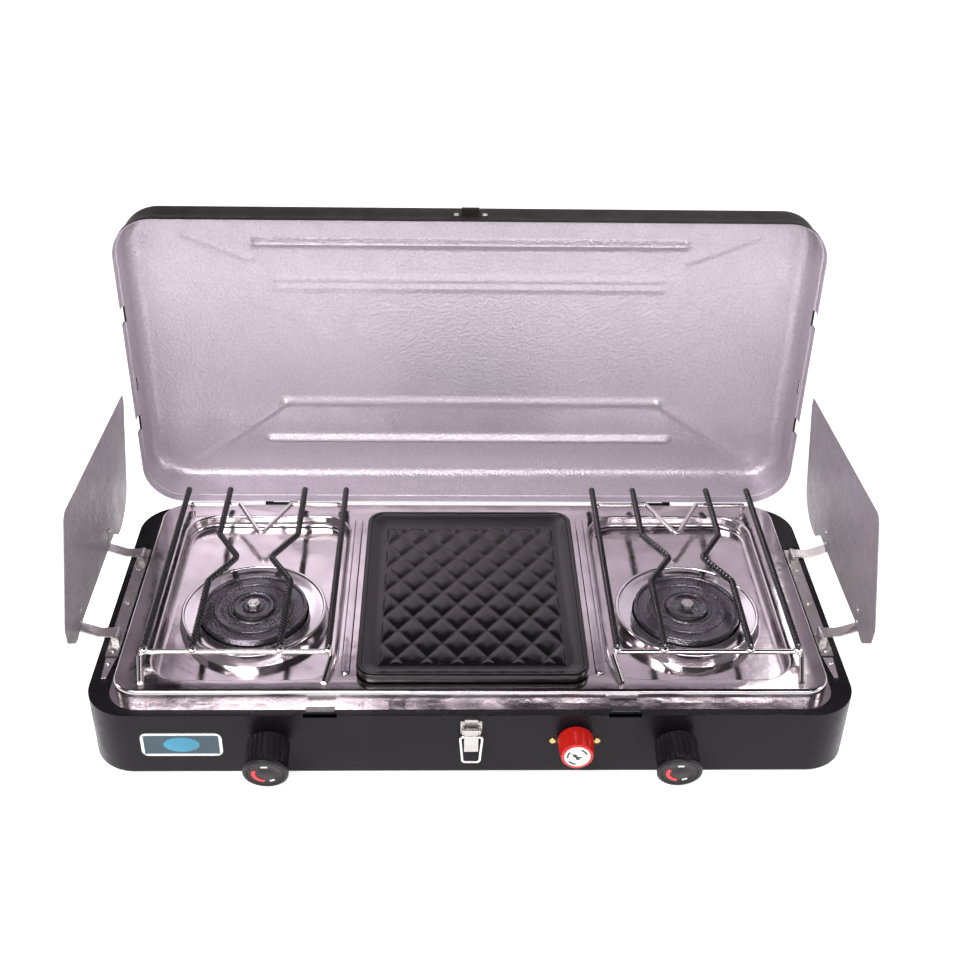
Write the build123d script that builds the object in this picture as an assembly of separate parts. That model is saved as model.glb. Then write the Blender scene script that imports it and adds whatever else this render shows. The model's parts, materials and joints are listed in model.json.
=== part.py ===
"""Two-burner camping stove with a griddle, opened for cooking.

Millimetres. X runs to the right, Y to the back and Z up. The origin is the
middle of the flat underside of the case, which is what the stove stands on.
The lid is drawn closed and then turned back about its hinge, and each
windscreen is drawn standing in its open place.
"""

import math
import os

from build123d import *

# Case: a deep-drawn steel tray with a ledge turned inwards round its top.
CASE_W = 650.0
CASE_D = 304.0
CASE_H = 66.0
CASE_R = 38.0
CASE_WALL = 1.2
CASE_FOOT_R = 4.0
LEDGE_W = 30.0
NOTCH_W = 28.0
NOTCH_H = 2.4
NOTCH_X = 127.0

# Cooktop: a stainless pan with a foot flange, a skirt and two wells.
TOP_SHEET = 1.0
TOP_H = 14.0
TOP_SIDE = 23.0
TOP_FRONT = 14.0
TOP_R = 22.0
FLANGE_SIDE = 4.0
FLANGE_FRONT = 7.5
WELL_W = 156.0
WELL_D = 238.0
WELL_R = 28.0
WELL_DEPTH = 12.0
WELL_FOOT_R = 5.0
WELL_RIM_R = 2.4
WELL_SHIFT = -3.0
RIDGE_W = 8.0
RIDGE_H = 2.0

# Burners and the bowls round them.
BURNER_X = 195.0
BURNER_Y = -28.0
BOWL_R = 66.5
BOWL_H = 12.0
BOWL_SHEET = 0.9
BOWL_FLOOR = 7.4
BURNER_R = 47.5
POT_R = 41.0
POT_H = 26.0
CAP_R = 18.5
NUT_R = 6.0
ELECTRODE_R = 2.4
ELECTRODE_TURN = 52.0
ELECTRODE_OUT = 55.0

# Pan supports.
GRATE_X = 201.0
WIRE_D = 4.6
BAR_D = 6.4
GRATE_STAND = 17.4
BAR_OUTER = 78.0
BAR_INNER = 37.0
BAR_KINK_IN = 15.5
KINK_Y = 30.0
KINK_HALF = 36.0
BAR_FRONT_OVER = 2.0
BAR_REAR_OVER = 21.0
GRATE_FRONT_Y = -98.0
GRATE_REAR_Y = 124.0
LEG_SPREAD = 32.0
REAR_V_DEPTH = 46.0
REAR_V_HALF = 25.0

# Griddle between the burners.
GRIDDLE_W = 198.0
GRIDDLE_D = 242.0
GRIDDLE_R = 16.0
GRIDDLE_BASE = 3.0
GRIDDLE_RIM_H = 8.0
GRIDDLE_RIM_W = 4.0
GRIDDLE_SHIFT = -8.0
GRIDDLE_FLOOR_W = 168.0
GRIDDLE_FLOOR_D = 207.0
GRIDDLE_FLOOR_SHIFT = -10.5
GRIDDLE_FOOT = 1.0

# Lid.
LID_OVER = 1.0
LID_H = 47.0
LID_SHEET = 1.0
LID_BAND_H = 9.0
LID_STEP = 2.0
LID_CROWN_R = 13.0
LID_GAP = 1.0
HINGE_BACK = 3.7
HINGE_X = 190.0
KNUCKLE_R = 3.0
KNUCKLE_L = 16.0
KNUCKLE_GAP = 0.3
PIN_R = 1.5
PIN_CLEAR = 0.05
LEAF_T = 1.0
LEAF_H = 22.0
SLOT_OUT = 132.0
SLOT_L = 14.0
SLOT_W = 4.0

# Windscreens.
SCREEN_T = 0.9
SCREEN_OUT = 20.0
SCREEN_LEAN = 5.5
SCREEN_FOOT_Z = 64.0
SCREEN_HEEL_R = 34.0
SCREEN_CORNER_R = 9.0
PIVOT_IN = 11.5
PIVOT_UP = 5.0
ARM_W = 12.0
ARM_T = 1.4
ARM_YS = (-54.0, 64.0)
ARM_EYE_R = 3.1
ARM_REACH = 26.0
BRACKET_T = 1.2
BRACKET_W = 11.0
EAR_T = 1.5
EAR_GAP = 0.4
NOTCH_CLEAR = 2.0

# Gas side: valves, knobs, igniter, pipe.
KNOB_X = 170.0
KNOB_DROOP = 12.0
KNOB_R = 19.0
KNOB_L = 31.0
KNOB_GAP = 6.0
KNOB_Z = 43.0
DIAL_R = 15.0
STEM_R = 3.0
STEM_CLEAR = 0.06
VALVE_R = 8.0
VALVE_L = 26.0
TUBE_R = 8.5
TUBE_WALL = 1.2
PIPE_R = 4.0
PIPE_Z = 22.0
INLET_Y = 70.0
INLET_Z = 34.0
INLET_R = 9.0
INLET_BORE = 5.0
IGNITER_X = 86.0
IGNITER_Z = 42.0
IGNITER_R = 15.2
IGNITER_L = 21.0
IGNITER_DISC_R = 11.0
EYELET_OUT = 18.7
EYELET_R = 3.0
WIRE_R = 1.2

# Front fittings.
LATCH_X = -1.5
LATCH_PIVOT_Z = 53.0
LATCH_OUT = 5.0
LATCH_LEVER_W = 12.0
LATCH_LEVER_L = 22.0
BAIL_W = 21.0
BAIL_L = 30.7
BAIL_TAPER = 2.2
BAIL_DROP = 5.5
BAIL_D = 2.4
BADGE_X = -244.0
BADGE_Z = 34.0
BADGE_W = 68.0
BADGE_H = 26.0
BADGE_T = 0.8
RIVET_R = 3.0
RIVET_H = 1.4

# Worked-out places.
FRONT_Y = -CASE_D / 2
REAR_Y = CASE_D / 2
TOP_Z = CASE_H + TOP_H
WELL_Z = TOP_Z - WELL_DEPTH
BURNER_Z = WELL_Z + BOWL_H - 2.0
WIRE_Z = TOP_Z + GRATE_STAND - BAR_D - WIRE_D / 2 + 0.4
BAR_Z = TOP_Z + GRATE_STAND - BAR_D / 2
PIVOT_Z = CASE_H + PIVOT_UP
PIVOT_X = CASE_W / 2 - PIVOT_IN
SCREEN_X = CASE_W / 2 + SCREEN_OUT
HINGE_Y = REAR_Y + HINGE_BACK
HINGE_Z = CASE_H + LID_GAP / 2
LID_Z = CASE_H + LID_GAP
LID_AXIS = Axis((0, HINGE_Y, HINGE_Z), (1, 0, 0))
SIDES = {"left": -1, "right": 1}


def save(name, solid):
    """Write one node to its STEP file."""
    export_step(solid, f"parts/{name}.step")


def slab(width, depth, radius, low, high, x=0.0, y=0.0):
    """A rounded rectangle, seen from above, between two heights."""
    return extrude(Pos(x, y, low) * RectangleRounded(width, depth, radius), high - low)


def block(x0, x1, y0, y1, z0, z1):
    """A plain box between two corners."""
    size = Box(abs(x1 - x0), abs(y1 - y0), abs(z1 - z0))
    return Pos((x0 + x1) / 2, (y0 + y1) / 2, (z0 + z1) / 2) * size


def rod(start, end, radius):
    """A round bar from one point to another."""
    run = Vector(*end) - Vector(*start)
    plane = Plane(origin=start, z_dir=run)
    return extrude(plane * Circle(radius), run.length)


def wire(points, bend, radius):
    """Round wire along straight runs joined by equal bends."""
    path = FilletPolyline(*points, radius=bend)
    section = Plane(origin=path @ 0, z_dir=path % 0) * Circle(radius)
    return sweep(section, path=path)


def rivet(x, y, z, direction, radius=RIVET_R, height=RIVET_H):
    """A low domed head that stands on a surface and faces a direction."""
    head = extrude(Circle(radius), height)
    head = fillet(head.edges().group_by(Axis.Z)[-1], height * 0.7)
    return Plane(origin=(x, y, z), z_dir=direction).location * head


def valve_frame(side):
    """The plane where a valve's axis leaves the case, looking out along it."""
    droop = math.radians(KNOB_DROOP)
    out = (0, -math.cos(droop), -math.sin(droop))
    return Plane(origin=(side * KNOB_X, FRONT_Y, KNOB_Z), x_dir=(1, 0, 0), z_dir=out)


def along_valve(side, radius, start, end):
    """A cylinder on a valve's axis; positive distances are outside the case."""
    frame = valve_frame(side).offset(start)
    return extrude(frame * Circle(radius), end - start)


# ---------------------------------------------------------------- case


def make_case():
    """The tray, its ledge and the holes for what passes through its walls."""
    outer = slab(CASE_W, CASE_D, CASE_R, 0, CASE_H)
    outer = fillet(outer.edges().group_by(Axis.Z)[0], CASE_FOOT_R)
    lip = 2 * CASE_WALL
    inner = slab(
        CASE_W - lip, CASE_D - lip, CASE_R - CASE_WALL, CASE_WALL, CASE_H - CASE_WALL
    )
    inner = fillet(inner.edges().group_by(Axis.Z)[0], CASE_FOOT_R - CASE_WALL)
    mouth = slab(
        CASE_W - 2 * LEDGE_W,
        CASE_D - 2 * (TOP_FRONT + 8.0),
        CASE_R / 2,
        CASE_H - 2 * CASE_WALL,
        CASE_H + 1,
    )
    case = outer - inner - mouth
    for side in SIDES.values():
        x = side * NOTCH_X
        case -= block(
            x - NOTCH_W / 2,
            x + NOTCH_W / 2,
            FRONT_Y - 1,
            FRONT_Y + 3.0,
            CASE_H - NOTCH_H,
            CASE_H + 1,
        )
        case -= along_valve(side, STEM_R + 1.2, -6, 6)
        case -= rod(
            (IGNITER_X + side * EYELET_OUT, FRONT_Y - 2, IGNITER_Z - 4),
            (IGNITER_X + side * EYELET_OUT, FRONT_Y + 2, IGNITER_Z - 4),
            1.6,
        )
    case -= rod((IGNITER_X, FRONT_Y - 2, IGNITER_Z), (IGNITER_X, FRONT_Y + 2, IGNITER_Z), 6.2)
    inlet_x = CASE_W / 2
    case -= rod((inlet_x - 4, INLET_Y, INLET_Z), (inlet_x + 4, INLET_Y, INLET_Z), INLET_R)
    return case


def is_well_rim(edge):
    """Whether an edge lies round the mouth of a well, in the top sheet."""
    place = edge.center()
    near_x = abs(abs(place.X) - BURNER_X) < WELL_W / 2 + 0.5
    near_y = abs(place.Y - WELL_SHIFT) < WELL_D / 2 + 0.5
    return near_x and near_y and abs(place.Z - TOP_Z) < 0.01


def make_cooktop():
    """The stainless pan: flange, skirt, top, two wells and two ridges."""
    width = CASE_W - 2 * TOP_SIDE
    depth = CASE_D - 2 * TOP_FRONT
    pan = slab(width, depth, TOP_R, CASE_H, TOP_Z)
    pan = fillet(pan.edges().group_by(Axis.Z)[-1], 3.0)
    pan += slab(
        width + 2 * FLANGE_SIDE,
        depth + 2 * FLANGE_FRONT,
        TOP_R + FLANGE_SIDE,
        CASE_H,
        CASE_H + TOP_SHEET,
    )
    sheet = 2 * TOP_SHEET
    pan -= slab(width - sheet, depth - sheet, TOP_R - TOP_SHEET, CASE_H - 1, TOP_Z - TOP_SHEET)
    for side in SIDES.values():
        x = side * BURNER_X
        dish = slab(
            WELL_W + sheet, WELL_D + sheet, WELL_R + TOP_SHEET, WELL_Z - TOP_SHEET, TOP_Z, x, WELL_SHIFT
        )
        pan += fillet(dish.edges().group_by(Axis.Z)[0], WELL_FOOT_R + TOP_SHEET)
        room = slab(WELL_W, WELL_D, WELL_R, WELL_Z, TOP_Z, x, WELL_SHIFT)
        room = fillet(room.edges().group_by(Axis.Z)[0], WELL_FOOT_R)
        pan -= room
    pan = fillet(pan.edges().filter_by(is_well_rim), WELL_RIM_R)
    for side in SIDES.values():
        x = side * BURNER_X
        hole = Cylinder(BURNER_R + 2.0, 40.0)
        pan -= Pos(x, BURNER_Y, WELL_Z) * hole
        pan -= electrode_rod(side, ELECTRODE_R + 0.4, -3, 3)
        inner_edge = BURNER_X - WELL_W / 2
        ridge_x = side * (inner_edge + GRIDDLE_W / 2) / 2
        ridge = slab(RIDGE_W, WELL_D - 10, RIDGE_W / 2 - 0.1, TOP_Z - 0.5, TOP_Z + RIDGE_H, ridge_x, WELL_SHIFT)
        pan += fillet(ridge.edges().group_by(Axis.Z)[-1], RIDGE_H * 0.8)
    return pan


def make_cooktop_clips():
    """Two spring clips that hold the flange down behind the front notches."""
    clips = []
    for side in SIDES.values():
        x = side * NOTCH_X
        half = NOTCH_W / 2 - 2.0
        flange_edge = FRONT_Y + TOP_FRONT - FLANGE_FRONT
        over = CASE_H + TOP_SHEET
        clip = block(x - half, x + half, FRONT_Y + 3.6, flange_edge + 3, over, over + 0.7)
        clip += block(x - half, x + half, FRONT_Y + 3.6, flange_edge - 0.3, CASE_H, over + 0.7)
        clips.append(clip)
    return Compound(children=clips)


# ------------------------------------------------------------- burners


def make_bowl(side):
    """A polished ring that stands on the well floor and slopes in to the burner."""
    inner = BURNER_R + 1.5
    profile = Polyline(
        (BOWL_R, 0),
        (BOWL_R - 2.0, BOWL_H),
        (BOWL_R - 5.0, BOWL_H),
        (inner, BOWL_FLOOR),
        (inner, BOWL_FLOOR - BOWL_SHEET * 1.2),
        (BOWL_R - 5.2, BOWL_H - BOWL_SHEET * 1.2),
        (BOWL_R - 2.8, BOWL_H - BOWL_SHEET),
        (BOWL_R - BOWL_SHEET, 0),
        close=True,
    )
    bowl = revolve(make_face(Plane.XZ * profile), Axis.Z)
    place = Pos(side * BURNER_X, BURNER_Y, WELL_Z)
    bowl = place * bowl
    return bowl - electrode_rod(side, ELECTRODE_R + 0.4, -20, 30)


def electrode_rod(side, radius, low, high):
    """An upright rod at the spark electrode's place beside a burner."""
    turn = math.radians(ELECTRODE_TURN)
    x = side * (BURNER_X + ELECTRODE_OUT * math.cos(turn))
    y = BURNER_Y + ELECTRODE_OUT * math.sin(turn)
    return rod((x, y, WELL_Z + low), (x, y, WELL_Z + high), radius)


def make_burner_pot(side):
    """The cast gas chamber under a burner, open at its top."""
    x = side * BURNER_X
    low = BURNER_Z - POT_H
    pot = Pos(x, BURNER_Y, (low + BURNER_Z) / 2) * Cylinder(POT_R, POT_H)
    pot -= Pos(x, BURNER_Y, low + 2 + POT_H / 2) * Cylinder(POT_R - 2.0, POT_H)
    rim = Cylinder(BURNER_R, 3.0) - Cylinder(POT_R - 2.0, 4.0)
    pot += Pos(x, BURNER_Y, BURNER_Z - 1.5) * rim
    pot -= along_valve(side, TUBE_R, -95, -10)
    post = Pos(x, BURNER_Y, (low + BURNER_Z) / 2) * Cylinder(5.0, POT_H)
    return pot + post


def make_burner_rings(side):
    """The slotted head: a disc with raised concentric rings."""
    x = side * BURNER_X
    head = Cylinder(BURNER_R, 2.0)
    for share in (0.975, 0.83, 0.685, 0.54):
        radius = share * BURNER_R
        ring = Cylinder(radius, 3.6) - Cylinder(radius - 2.4, 4.0)
        head += Pos(0, 0, 1.2) * ring
    head -= Cylinder(3.2, 12.0)
    return Pos(x, BURNER_Y, BURNER_Z + 1.0) * head


def make_burner_cap(side):
    """The round cover over the middle of a burner."""
    cap = extrude(Circle(CAP_R), 3.2)
    cap = fillet(cap.edges().group_by(Axis.Z)[-1], 1.6)
    cap -= Cylinder(3.2, 12.0)
    return Pos(side * BURNER_X, BURNER_Y, BURNER_Z + 2.0) * cap


def make_burner_nut(side):
    """The nut and stud that hold a burner's head and cap on its pot."""
    nut = extrude(RegularPolygon(NUT_R, 6), 3.4)
    nut = Pos(0, 0, 5.2) * nut
    nut += Pos(0, 0, 4.6) * Cylinder(3.0, 9.2)
    return Pos(side * BURNER_X, BURNER_Y, BURNER_Z) * nut


def make_electrode(side):
    """A white ceramic rod with a thin spark tip."""
    ceramic = electrode_rod(side, ELECTRODE_R, -14, 9)
    tip = electrode_rod(side, 0.8, 9, 12)
    return ceramic + tip


# ---------------------------------------------------------- gas and fire


def make_valve(side):
    """A brass valve body behind the front wall, bored for its stem."""
    body = along_valve(side, VALVE_R, -VALVE_L, -3.0)
    body += along_valve(side, VALVE_R - 3.0, -VALVE_L - 7.0, -VALVE_L)
    x, y, z = valve_frame(side).offset(-VALVE_L / 2 - 2).origin
    body += rod((x, y, z), (x, y, PIPE_Z + PIPE_R - 0.2), 3.4)
    body -= along_valve(side, STEM_R + STEM_CLEAR, -14, 4)
    return body - make_pipe()


def make_mixing_tube(side):
    """The tube that carries gas and air from the valve's jet to the pot."""
    start = -VALVE_L - 5.0
    end = -VALVE_L - 48.0
    tube = along_valve(side, TUBE_R, end, start)
    tube -= along_valve(side, TUBE_R - TUBE_WALL, end - 1, start - 3)
    tube -= along_valve(side, VALVE_R - 3.0, start - 4, start + 1)
    pot = Pos(side * BURNER_X, BURNER_Y, BURNER_Z - POT_H / 2) * Cylinder(POT_R - 2.0, POT_H)
    return tube - pot


def make_pipe():
    """The bent gas pipe from the inlet to both valves."""
    _, valve_y, _ = valve_frame(1).offset(-VALVE_L / 2 - 2).origin
    right = CASE_W / 2 - 26.0
    points = [
        (CASE_W / 2 - 12.0, INLET_Y, INLET_Z),
        (right, INLET_Y, INLET_Z),
        (right, INLET_Y - 60.0, PIPE_Z),
        (right, valve_y, PIPE_Z),
        (-KNOB_X - 8.0, valve_y, PIPE_Z),
    ]
    return wire(points, 12.0, PIPE_R)


def make_gas_inlet():
    """The brass inlet in the right wall, with its bore for the regulator."""
    wall = CASE_W / 2
    inlet = rod((wall - 12, INLET_Y, INLET_Z), (wall + 5, INLET_Y, INLET_Z), INLET_R - 0.2)
    inlet += rod((wall, INLET_Y, INLET_Z), (wall + 2, INLET_Y, INLET_Z), INLET_R + 4.0)
    inlet -= rod((wall - 6, INLET_Y, INLET_Z), (wall + 6, INLET_Y, INLET_Z), INLET_BORE)
    return inlet


def make_stem(side):
    """The valve's stem, which turns with its knob."""
    return along_valve(side, STEM_R, -12, KNOB_GAP + KNOB_L - 6.0)


def make_knob(side):
    """A round hand knob with a recess for its dial plate."""
    knob = along_valve(side, KNOB_R, KNOB_GAP, KNOB_GAP + KNOB_L)
    knob = fillet(knob.edges().filter_by(GeomType.CIRCLE).sort_by(Axis.Y)[0], 1.5)
    knob -= along_valve(side, DIAL_R, KNOB_GAP + KNOB_L - 1.2, KNOB_GAP + KNOB_L + 1)
    return knob - along_valve(side, STEM_R, 0, KNOB_GAP + KNOB_L - 6.0)


def make_dial(side):
    """The plate in the face of a knob that carries its marks."""
    return along_valve(side, DIAL_R, KNOB_GAP + KNOB_L - 1.2, KNOB_GAP + KNOB_L - 0.2)


def make_igniter_body():
    """The igniter's housing and its round nut inside the front wall."""
    inside = FRONT_Y + CASE_WALL
    body = rod((IGNITER_X, inside, IGNITER_Z), (IGNITER_X, inside + 32, IGNITER_Z), 11.0)
    body += rod((IGNITER_X, FRONT_Y, IGNITER_Z), (IGNITER_X, inside, IGNITER_Z), 6.0)
    bore = rod((IGNITER_X, FRONT_Y - 1, IGNITER_Z), (IGNITER_X, inside + 14, IGNITER_Z), 3.06)
    return body - bore


def make_igniter_knob():
    """The red knob that turns the igniter, with a recess for its label."""
    start = FRONT_Y - 3.0
    end = start - IGNITER_L
    knob = rod((IGNITER_X, start, IGNITER_Z), (IGNITER_X, end, IGNITER_Z), IGNITER_R)
    knob = fillet(knob.edges().filter_by(GeomType.CIRCLE).sort_by(Axis.Y)[0], 2.0)
    label = rod((IGNITER_X, end + 1, IGNITER_Z), (IGNITER_X, end - 1, IGNITER_Z), IGNITER_DISC_R)
    socket = rod((IGNITER_X, start + 1, IGNITER_Z), (IGNITER_X, end + 6, IGNITER_Z), 3.0)
    return knob - label - socket


def make_igniter_label():
    """The white disc in the face of the igniter's knob."""
    end = FRONT_Y - 3.0 - IGNITER_L
    return rod((IGNITER_X, end + 1, IGNITER_Z), (IGNITER_X, end + 0.2, IGNITER_Z), IGNITER_DISC_R)


def make_igniter_shaft():
    """The shaft between the igniter's knob and its housing."""
    end = FRONT_Y - 3.0 - IGNITER_L + 6.0
    return rod((IGNITER_X, end, IGNITER_Z), (IGNITER_X, FRONT_Y + 14, IGNITER_Z), 3.0)


def make_eyelets():
    """The two brass rivets beside the igniter."""
    eyelets = []
    for side in SIDES.values():
        x = IGNITER_X + side * EYELET_OUT
        z = IGNITER_Z - 4.0
        head = rivet(x, FRONT_Y, z, (0, -1, 0), EYELET_R, 1.6)
        head += rod((x, FRONT_Y, z), (x, FRONT_Y + 4, z), 1.5)
        eyelets.append(head)
    return Compound(children=eyelets)


def make_igniter_wire(side):
    """The insulated wire from the igniter to one electrode."""
    turn = math.radians(ELECTRODE_TURN)
    end_x = side * (BURNER_X + ELECTRODE_OUT * math.cos(turn))
    end_y = BURNER_Y + ELECTRODE_OUT * math.sin(turn)
    start_x = IGNITER_X + side * 5.0
    start_y = FRONT_Y + CASE_WALL + 32.0
    low = 12.0
    points = [
        (start_x, start_y, IGNITER_Z),
        (start_x, start_y + 20.0, IGNITER_Z),
        (start_x, start_y + 34.0, low),
        (start_x, end_y, low),
        (end_x, end_y, low),
        (end_x, end_y, WELL_Z - 14.0),
    ]
    return wire(points, 9.0, WIRE_R)


# --------------------------------------------------- griddle and grates


def make_griddle():
    """The cast griddle: a plate with a sloped border, a rim and four low feet."""
    low = TOP_Z + GRIDDLE_FOOT
    y = GRIDDLE_SHIFT
    griddle = slab(GRIDDLE_W, GRIDDLE_D, GRIDDLE_R, low, low + GRIDDLE_RIM_H, 0, y)
    griddle = fillet(griddle.edges().group_by(Axis.Z)[-1], 1.5)
    rim = 2 * GRIDDLE_RIM_W
    floor = RectangleRounded(GRIDDLE_FLOOR_W, GRIDDLE_FLOOR_D, GRIDDLE_R / 2)
    mouth = RectangleRounded(GRIDDLE_W - rim, GRIDDLE_D - rim, GRIDDLE_R - GRIDDLE_RIM_W)
    top = low + GRIDDLE_RIM_H
    griddle -= loft(
        [
            Pos(0, GRIDDLE_FLOOR_SHIFT, low + GRIDDLE_BASE) * floor,
            Pos(0, y, top - 1.0) * mouth,
        ],
        ruled=True,
    )
    griddle -= extrude(Pos(0, y, top - 1.0) * mouth, 2.0)
    for side_x in (-1, 1):
        for side_y in (-1, 1):
            x = side_x * (GRIDDLE_W / 2 - 20)
            foot_y = y + side_y * (GRIDDLE_D / 2 - 20)
            foot = Cylinder(5.0, GRIDDLE_FOOT)
            griddle += Pos(x, foot_y, TOP_Z + GRIDDLE_FOOT / 2) * foot
    return griddle


def make_grate_frame(side):
    """The bright wire frame: two cross wires with legs down to the cooktop."""
    x = side * GRATE_X
    half = BAR_OUTER + 4.0
    foot_z = TOP_Z + WIRE_D / 2
    front = [
        (x - half + 6, GRATE_FRONT_Y - LEG_SPREAD, foot_z),
        (x - half, GRATE_FRONT_Y, WIRE_Z),
        (x + half, GRATE_FRONT_Y, WIRE_Z),
        (x + half - 6, GRATE_FRONT_Y - LEG_SPREAD, foot_z),
    ]
    v_y = GRATE_REAR_Y - REAR_V_DEPTH
    rear = [
        (x - half + 9, GRATE_REAR_Y + 4, foot_z),
        (x - half + 9, GRATE_REAR_Y, WIRE_Z),
        (x - REAR_V_HALF, GRATE_REAR_Y, WIRE_Z),
        (x, v_y, WIRE_Z - 4.0),
        (x + REAR_V_HALF, GRATE_REAR_Y, WIRE_Z),
        (x + half - 9, GRATE_REAR_Y, WIRE_Z),
        (x + half - 9, GRATE_REAR_Y + 4, foot_z),
    ]
    frame = [wire(front, 5.0, WIRE_D / 2), wire(rear, 3.6, WIRE_D / 2)]
    return Compound(children=frame)


def make_grate_bars(side, frame):
    """Four steel bars welded across the frame, the inner two kinked."""
    x = side * GRATE_X
    front = GRATE_FRONT_Y - BAR_FRONT_OVER
    rear = GRATE_REAR_Y + BAR_REAR_OVER
    bars = []
    for offset in (-BAR_OUTER, -BAR_INNER, BAR_INNER, BAR_OUTER):
        if abs(offset) == BAR_OUTER:
            bar = rod((x + offset, front, BAR_Z), (x + offset, rear, BAR_Z), BAR_D / 2)
        else:
            toe = math.copysign(BAR_KINK_IN, offset)
            points = [
                (x + offset, front, BAR_Z),
                (x + offset, KINK_Y - KINK_HALF, BAR_Z),
                (x + toe, KINK_Y, BAR_Z),
                (x + offset, KINK_Y + KINK_HALF, BAR_Z),
                (x + offset, rear, BAR_Z),
            ]
            bar = wire(points, 6.0, BAR_D / 2)
        bars.append(bar - frame)
    return Compound(children=bars)


# ----------------------------------------------------------------- lid


def open_lid(solid):
    """Turn a piece that is drawn on the closed lid back to the open place."""
    return solid.rotate(LID_AXIS, -90)


def make_lid():
    """The deep lid: a rim band, a stepped-in skirt and a large crown radius."""
    width = CASE_W + 2 * LID_OVER
    depth = CASE_D
    radius = CASE_R + LID_OVER
    top = LID_Z + LID_H
    band = LID_Z + LID_BAND_H
    step = 2 * LID_STEP
    sheet = 2 * LID_SHEET
    upper = slab(width - step, depth - step, radius - LID_STEP, LID_Z, top)
    upper = fillet(upper.edges().group_by(Axis.Z)[-1], LID_CROWN_R)
    lid = upper + slab(width, depth, radius, LID_Z, band)
    room = slab(
        width - step - sheet,
        depth - step - sheet,
        radius - LID_STEP - LID_SHEET,
        LID_Z - 1,
        top - LID_SHEET,
    )
    room = fillet(room.edges().group_by(Axis.Z)[-1], LID_CROWN_R - LID_SHEET)
    mouth = slab(width - sheet, depth - sheet, radius - LID_SHEET, LID_Z - 1, band - LID_SHEET)
    lid = lid - room - mouth
    slot_y = HINGE_Y - SLOT_OUT
    for side in SIDES.values():
        x = side * width / 2
        slot_z = LID_Z + LID_BAND_H + 3.0
        lid -= block(
            x - side * 6, x + side * 2, slot_y - SLOT_L / 2, slot_y + SLOT_L / 2, slot_z, slot_z + SLOT_W
        )
        for arm_y in ARM_YS:
            half = ARM_W / 2 + NOTCH_CLEAR
            high = PIVOT_Z + ARM_EYE_R + NOTCH_CLEAR
            lid -= block(x - side * 8, x + side * 2, arm_y - half, arm_y + half, LID_Z - 1, high)
    return open_lid(lid)


def make_lid_catch():
    """The hooked strike on the front of the lid that the bail pulls on."""
    face = FRONT_Y + LID_STEP
    z = LID_Z + LID_BAND_H + 2.0
    catch = block(LATCH_X - 17, LATCH_X + 17, face - 1.2, face, z, z + 12)
    catch += block(LATCH_X - 8, LATCH_X + 8, face - 6.0, face, z + 8.0, z + 9.4)
    catch += block(LATCH_X - 8, LATCH_X + 8, face - 6.0, face - 4.6, z + 8.0, z + 13.0)
    return open_lid(catch)


def make_lid_catch_rivets():
    """The two rivets of the strike."""
    face = FRONT_Y + LID_STEP - 1.2
    z = LID_Z + LID_BAND_H + 8.0
    heads = [rivet(LATCH_X + dx, face, z, (0, -1, 0), 2.6, 1.2) for dx in (-12.8, 12.8)]
    return Compound(children=[open_lid(head) for head in heads])


def knuckle(x0, x1):
    """A hinge knuckle round the lid's axis, bored for the pin."""
    outer = rod((x0, HINGE_Y, HINGE_Z), (x1, HINGE_Y, HINGE_Z), KNUCKLE_R)
    return outer - rod((x0 - 1, HINGE_Y, HINGE_Z), (x1 + 1, HINGE_Y, HINGE_Z), PIN_R + PIN_CLEAR)


def make_hinge_case():
    """The two fixed leaves on the back of the case, one knuckle each."""
    leaves = []
    bore = rod((-CASE_W, HINGE_Y, HINGE_Z), (CASE_W, HINGE_Y, HINGE_Z), PIN_R + PIN_CLEAR)
    for side in SIDES.values():
        x = side * HINGE_X
        half = KNUCKLE_L / 2
        low = CASE_H - LEAF_H
        leaf = block(x - 24, x + 24, REAR_Y, REAR_Y + LEAF_T, low, CASE_H - 5.0)
        leaf += block(x - half, x + half, REAR_Y, REAR_Y + LEAF_T, low, HINGE_Z)
        leaf += knuckle(x - half, x + half)
        leaf += block(x - half, x + half, REAR_Y, HINGE_Y - 1.0, HINGE_Z - 2.2, HINGE_Z)
        leaves.append(leaf - bore)
    return Compound(children=leaves)


def make_hinge_lid():
    """The two moving leaves on the back of the lid, two knuckles each."""
    leaves = []
    face = REAR_Y - LID_STEP
    bore = rod((-CASE_W, HINGE_Y, HINGE_Z), (CASE_W, HINGE_Y, HINGE_Z), PIN_R + PIN_CLEAR)
    for side in SIDES.values():
        x = side * HINGE_X
        inner = KNUCKLE_L / 2 + KNUCKLE_GAP
        outer = inner + KNUCKLE_L / 2
        plate_z = LID_Z + LID_BAND_H + 2.0
        leaf = block(x - outer, x + outer, face, REAR_Y + LEAF_T, plate_z, plate_z + LEAF_H * 0.6)
        for way in (-1, 1):
            near = x + way * inner
            far = x + way * outer
            leaf += block(near, far, REAR_Y, REAR_Y + LEAF_T, HINGE_Z + 0.8, plate_z + 1)
            leaf += block(near, far, REAR_Y, HINGE_Y - 1.0, HINGE_Z + 0.8, HINGE_Z + 2.2)
            leaf += knuckle(near, far)
        leaves.append(open_lid(leaf - bore))
    return Compound(children=leaves)


def make_hinge_pins():
    """The two plain pins of the lid's hinges."""
    pins = []
    for side in SIDES.values():
        x = side * HINGE_X
        half = KNUCKLE_L + KNUCKLE_GAP
        pins.append(rod((x - half, HINGE_Y, HINGE_Z), (x + half, HINGE_Y, HINGE_Z), PIN_R))
    return Compound(children=pins)


def make_hinge_rivets():
    """The rivets that hold the fixed leaves to the case."""
    heads = []
    for side in SIDES.values():
        for offset in (-17.0, 17.0):
            x = side * HINGE_X + offset
            heads.append(rivet(x, REAR_Y + LEAF_T, CASE_H - 14.0, (0, 1, 0)))
    return Compound(children=heads)


# --------------------------------------------------------- windscreens


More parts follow.
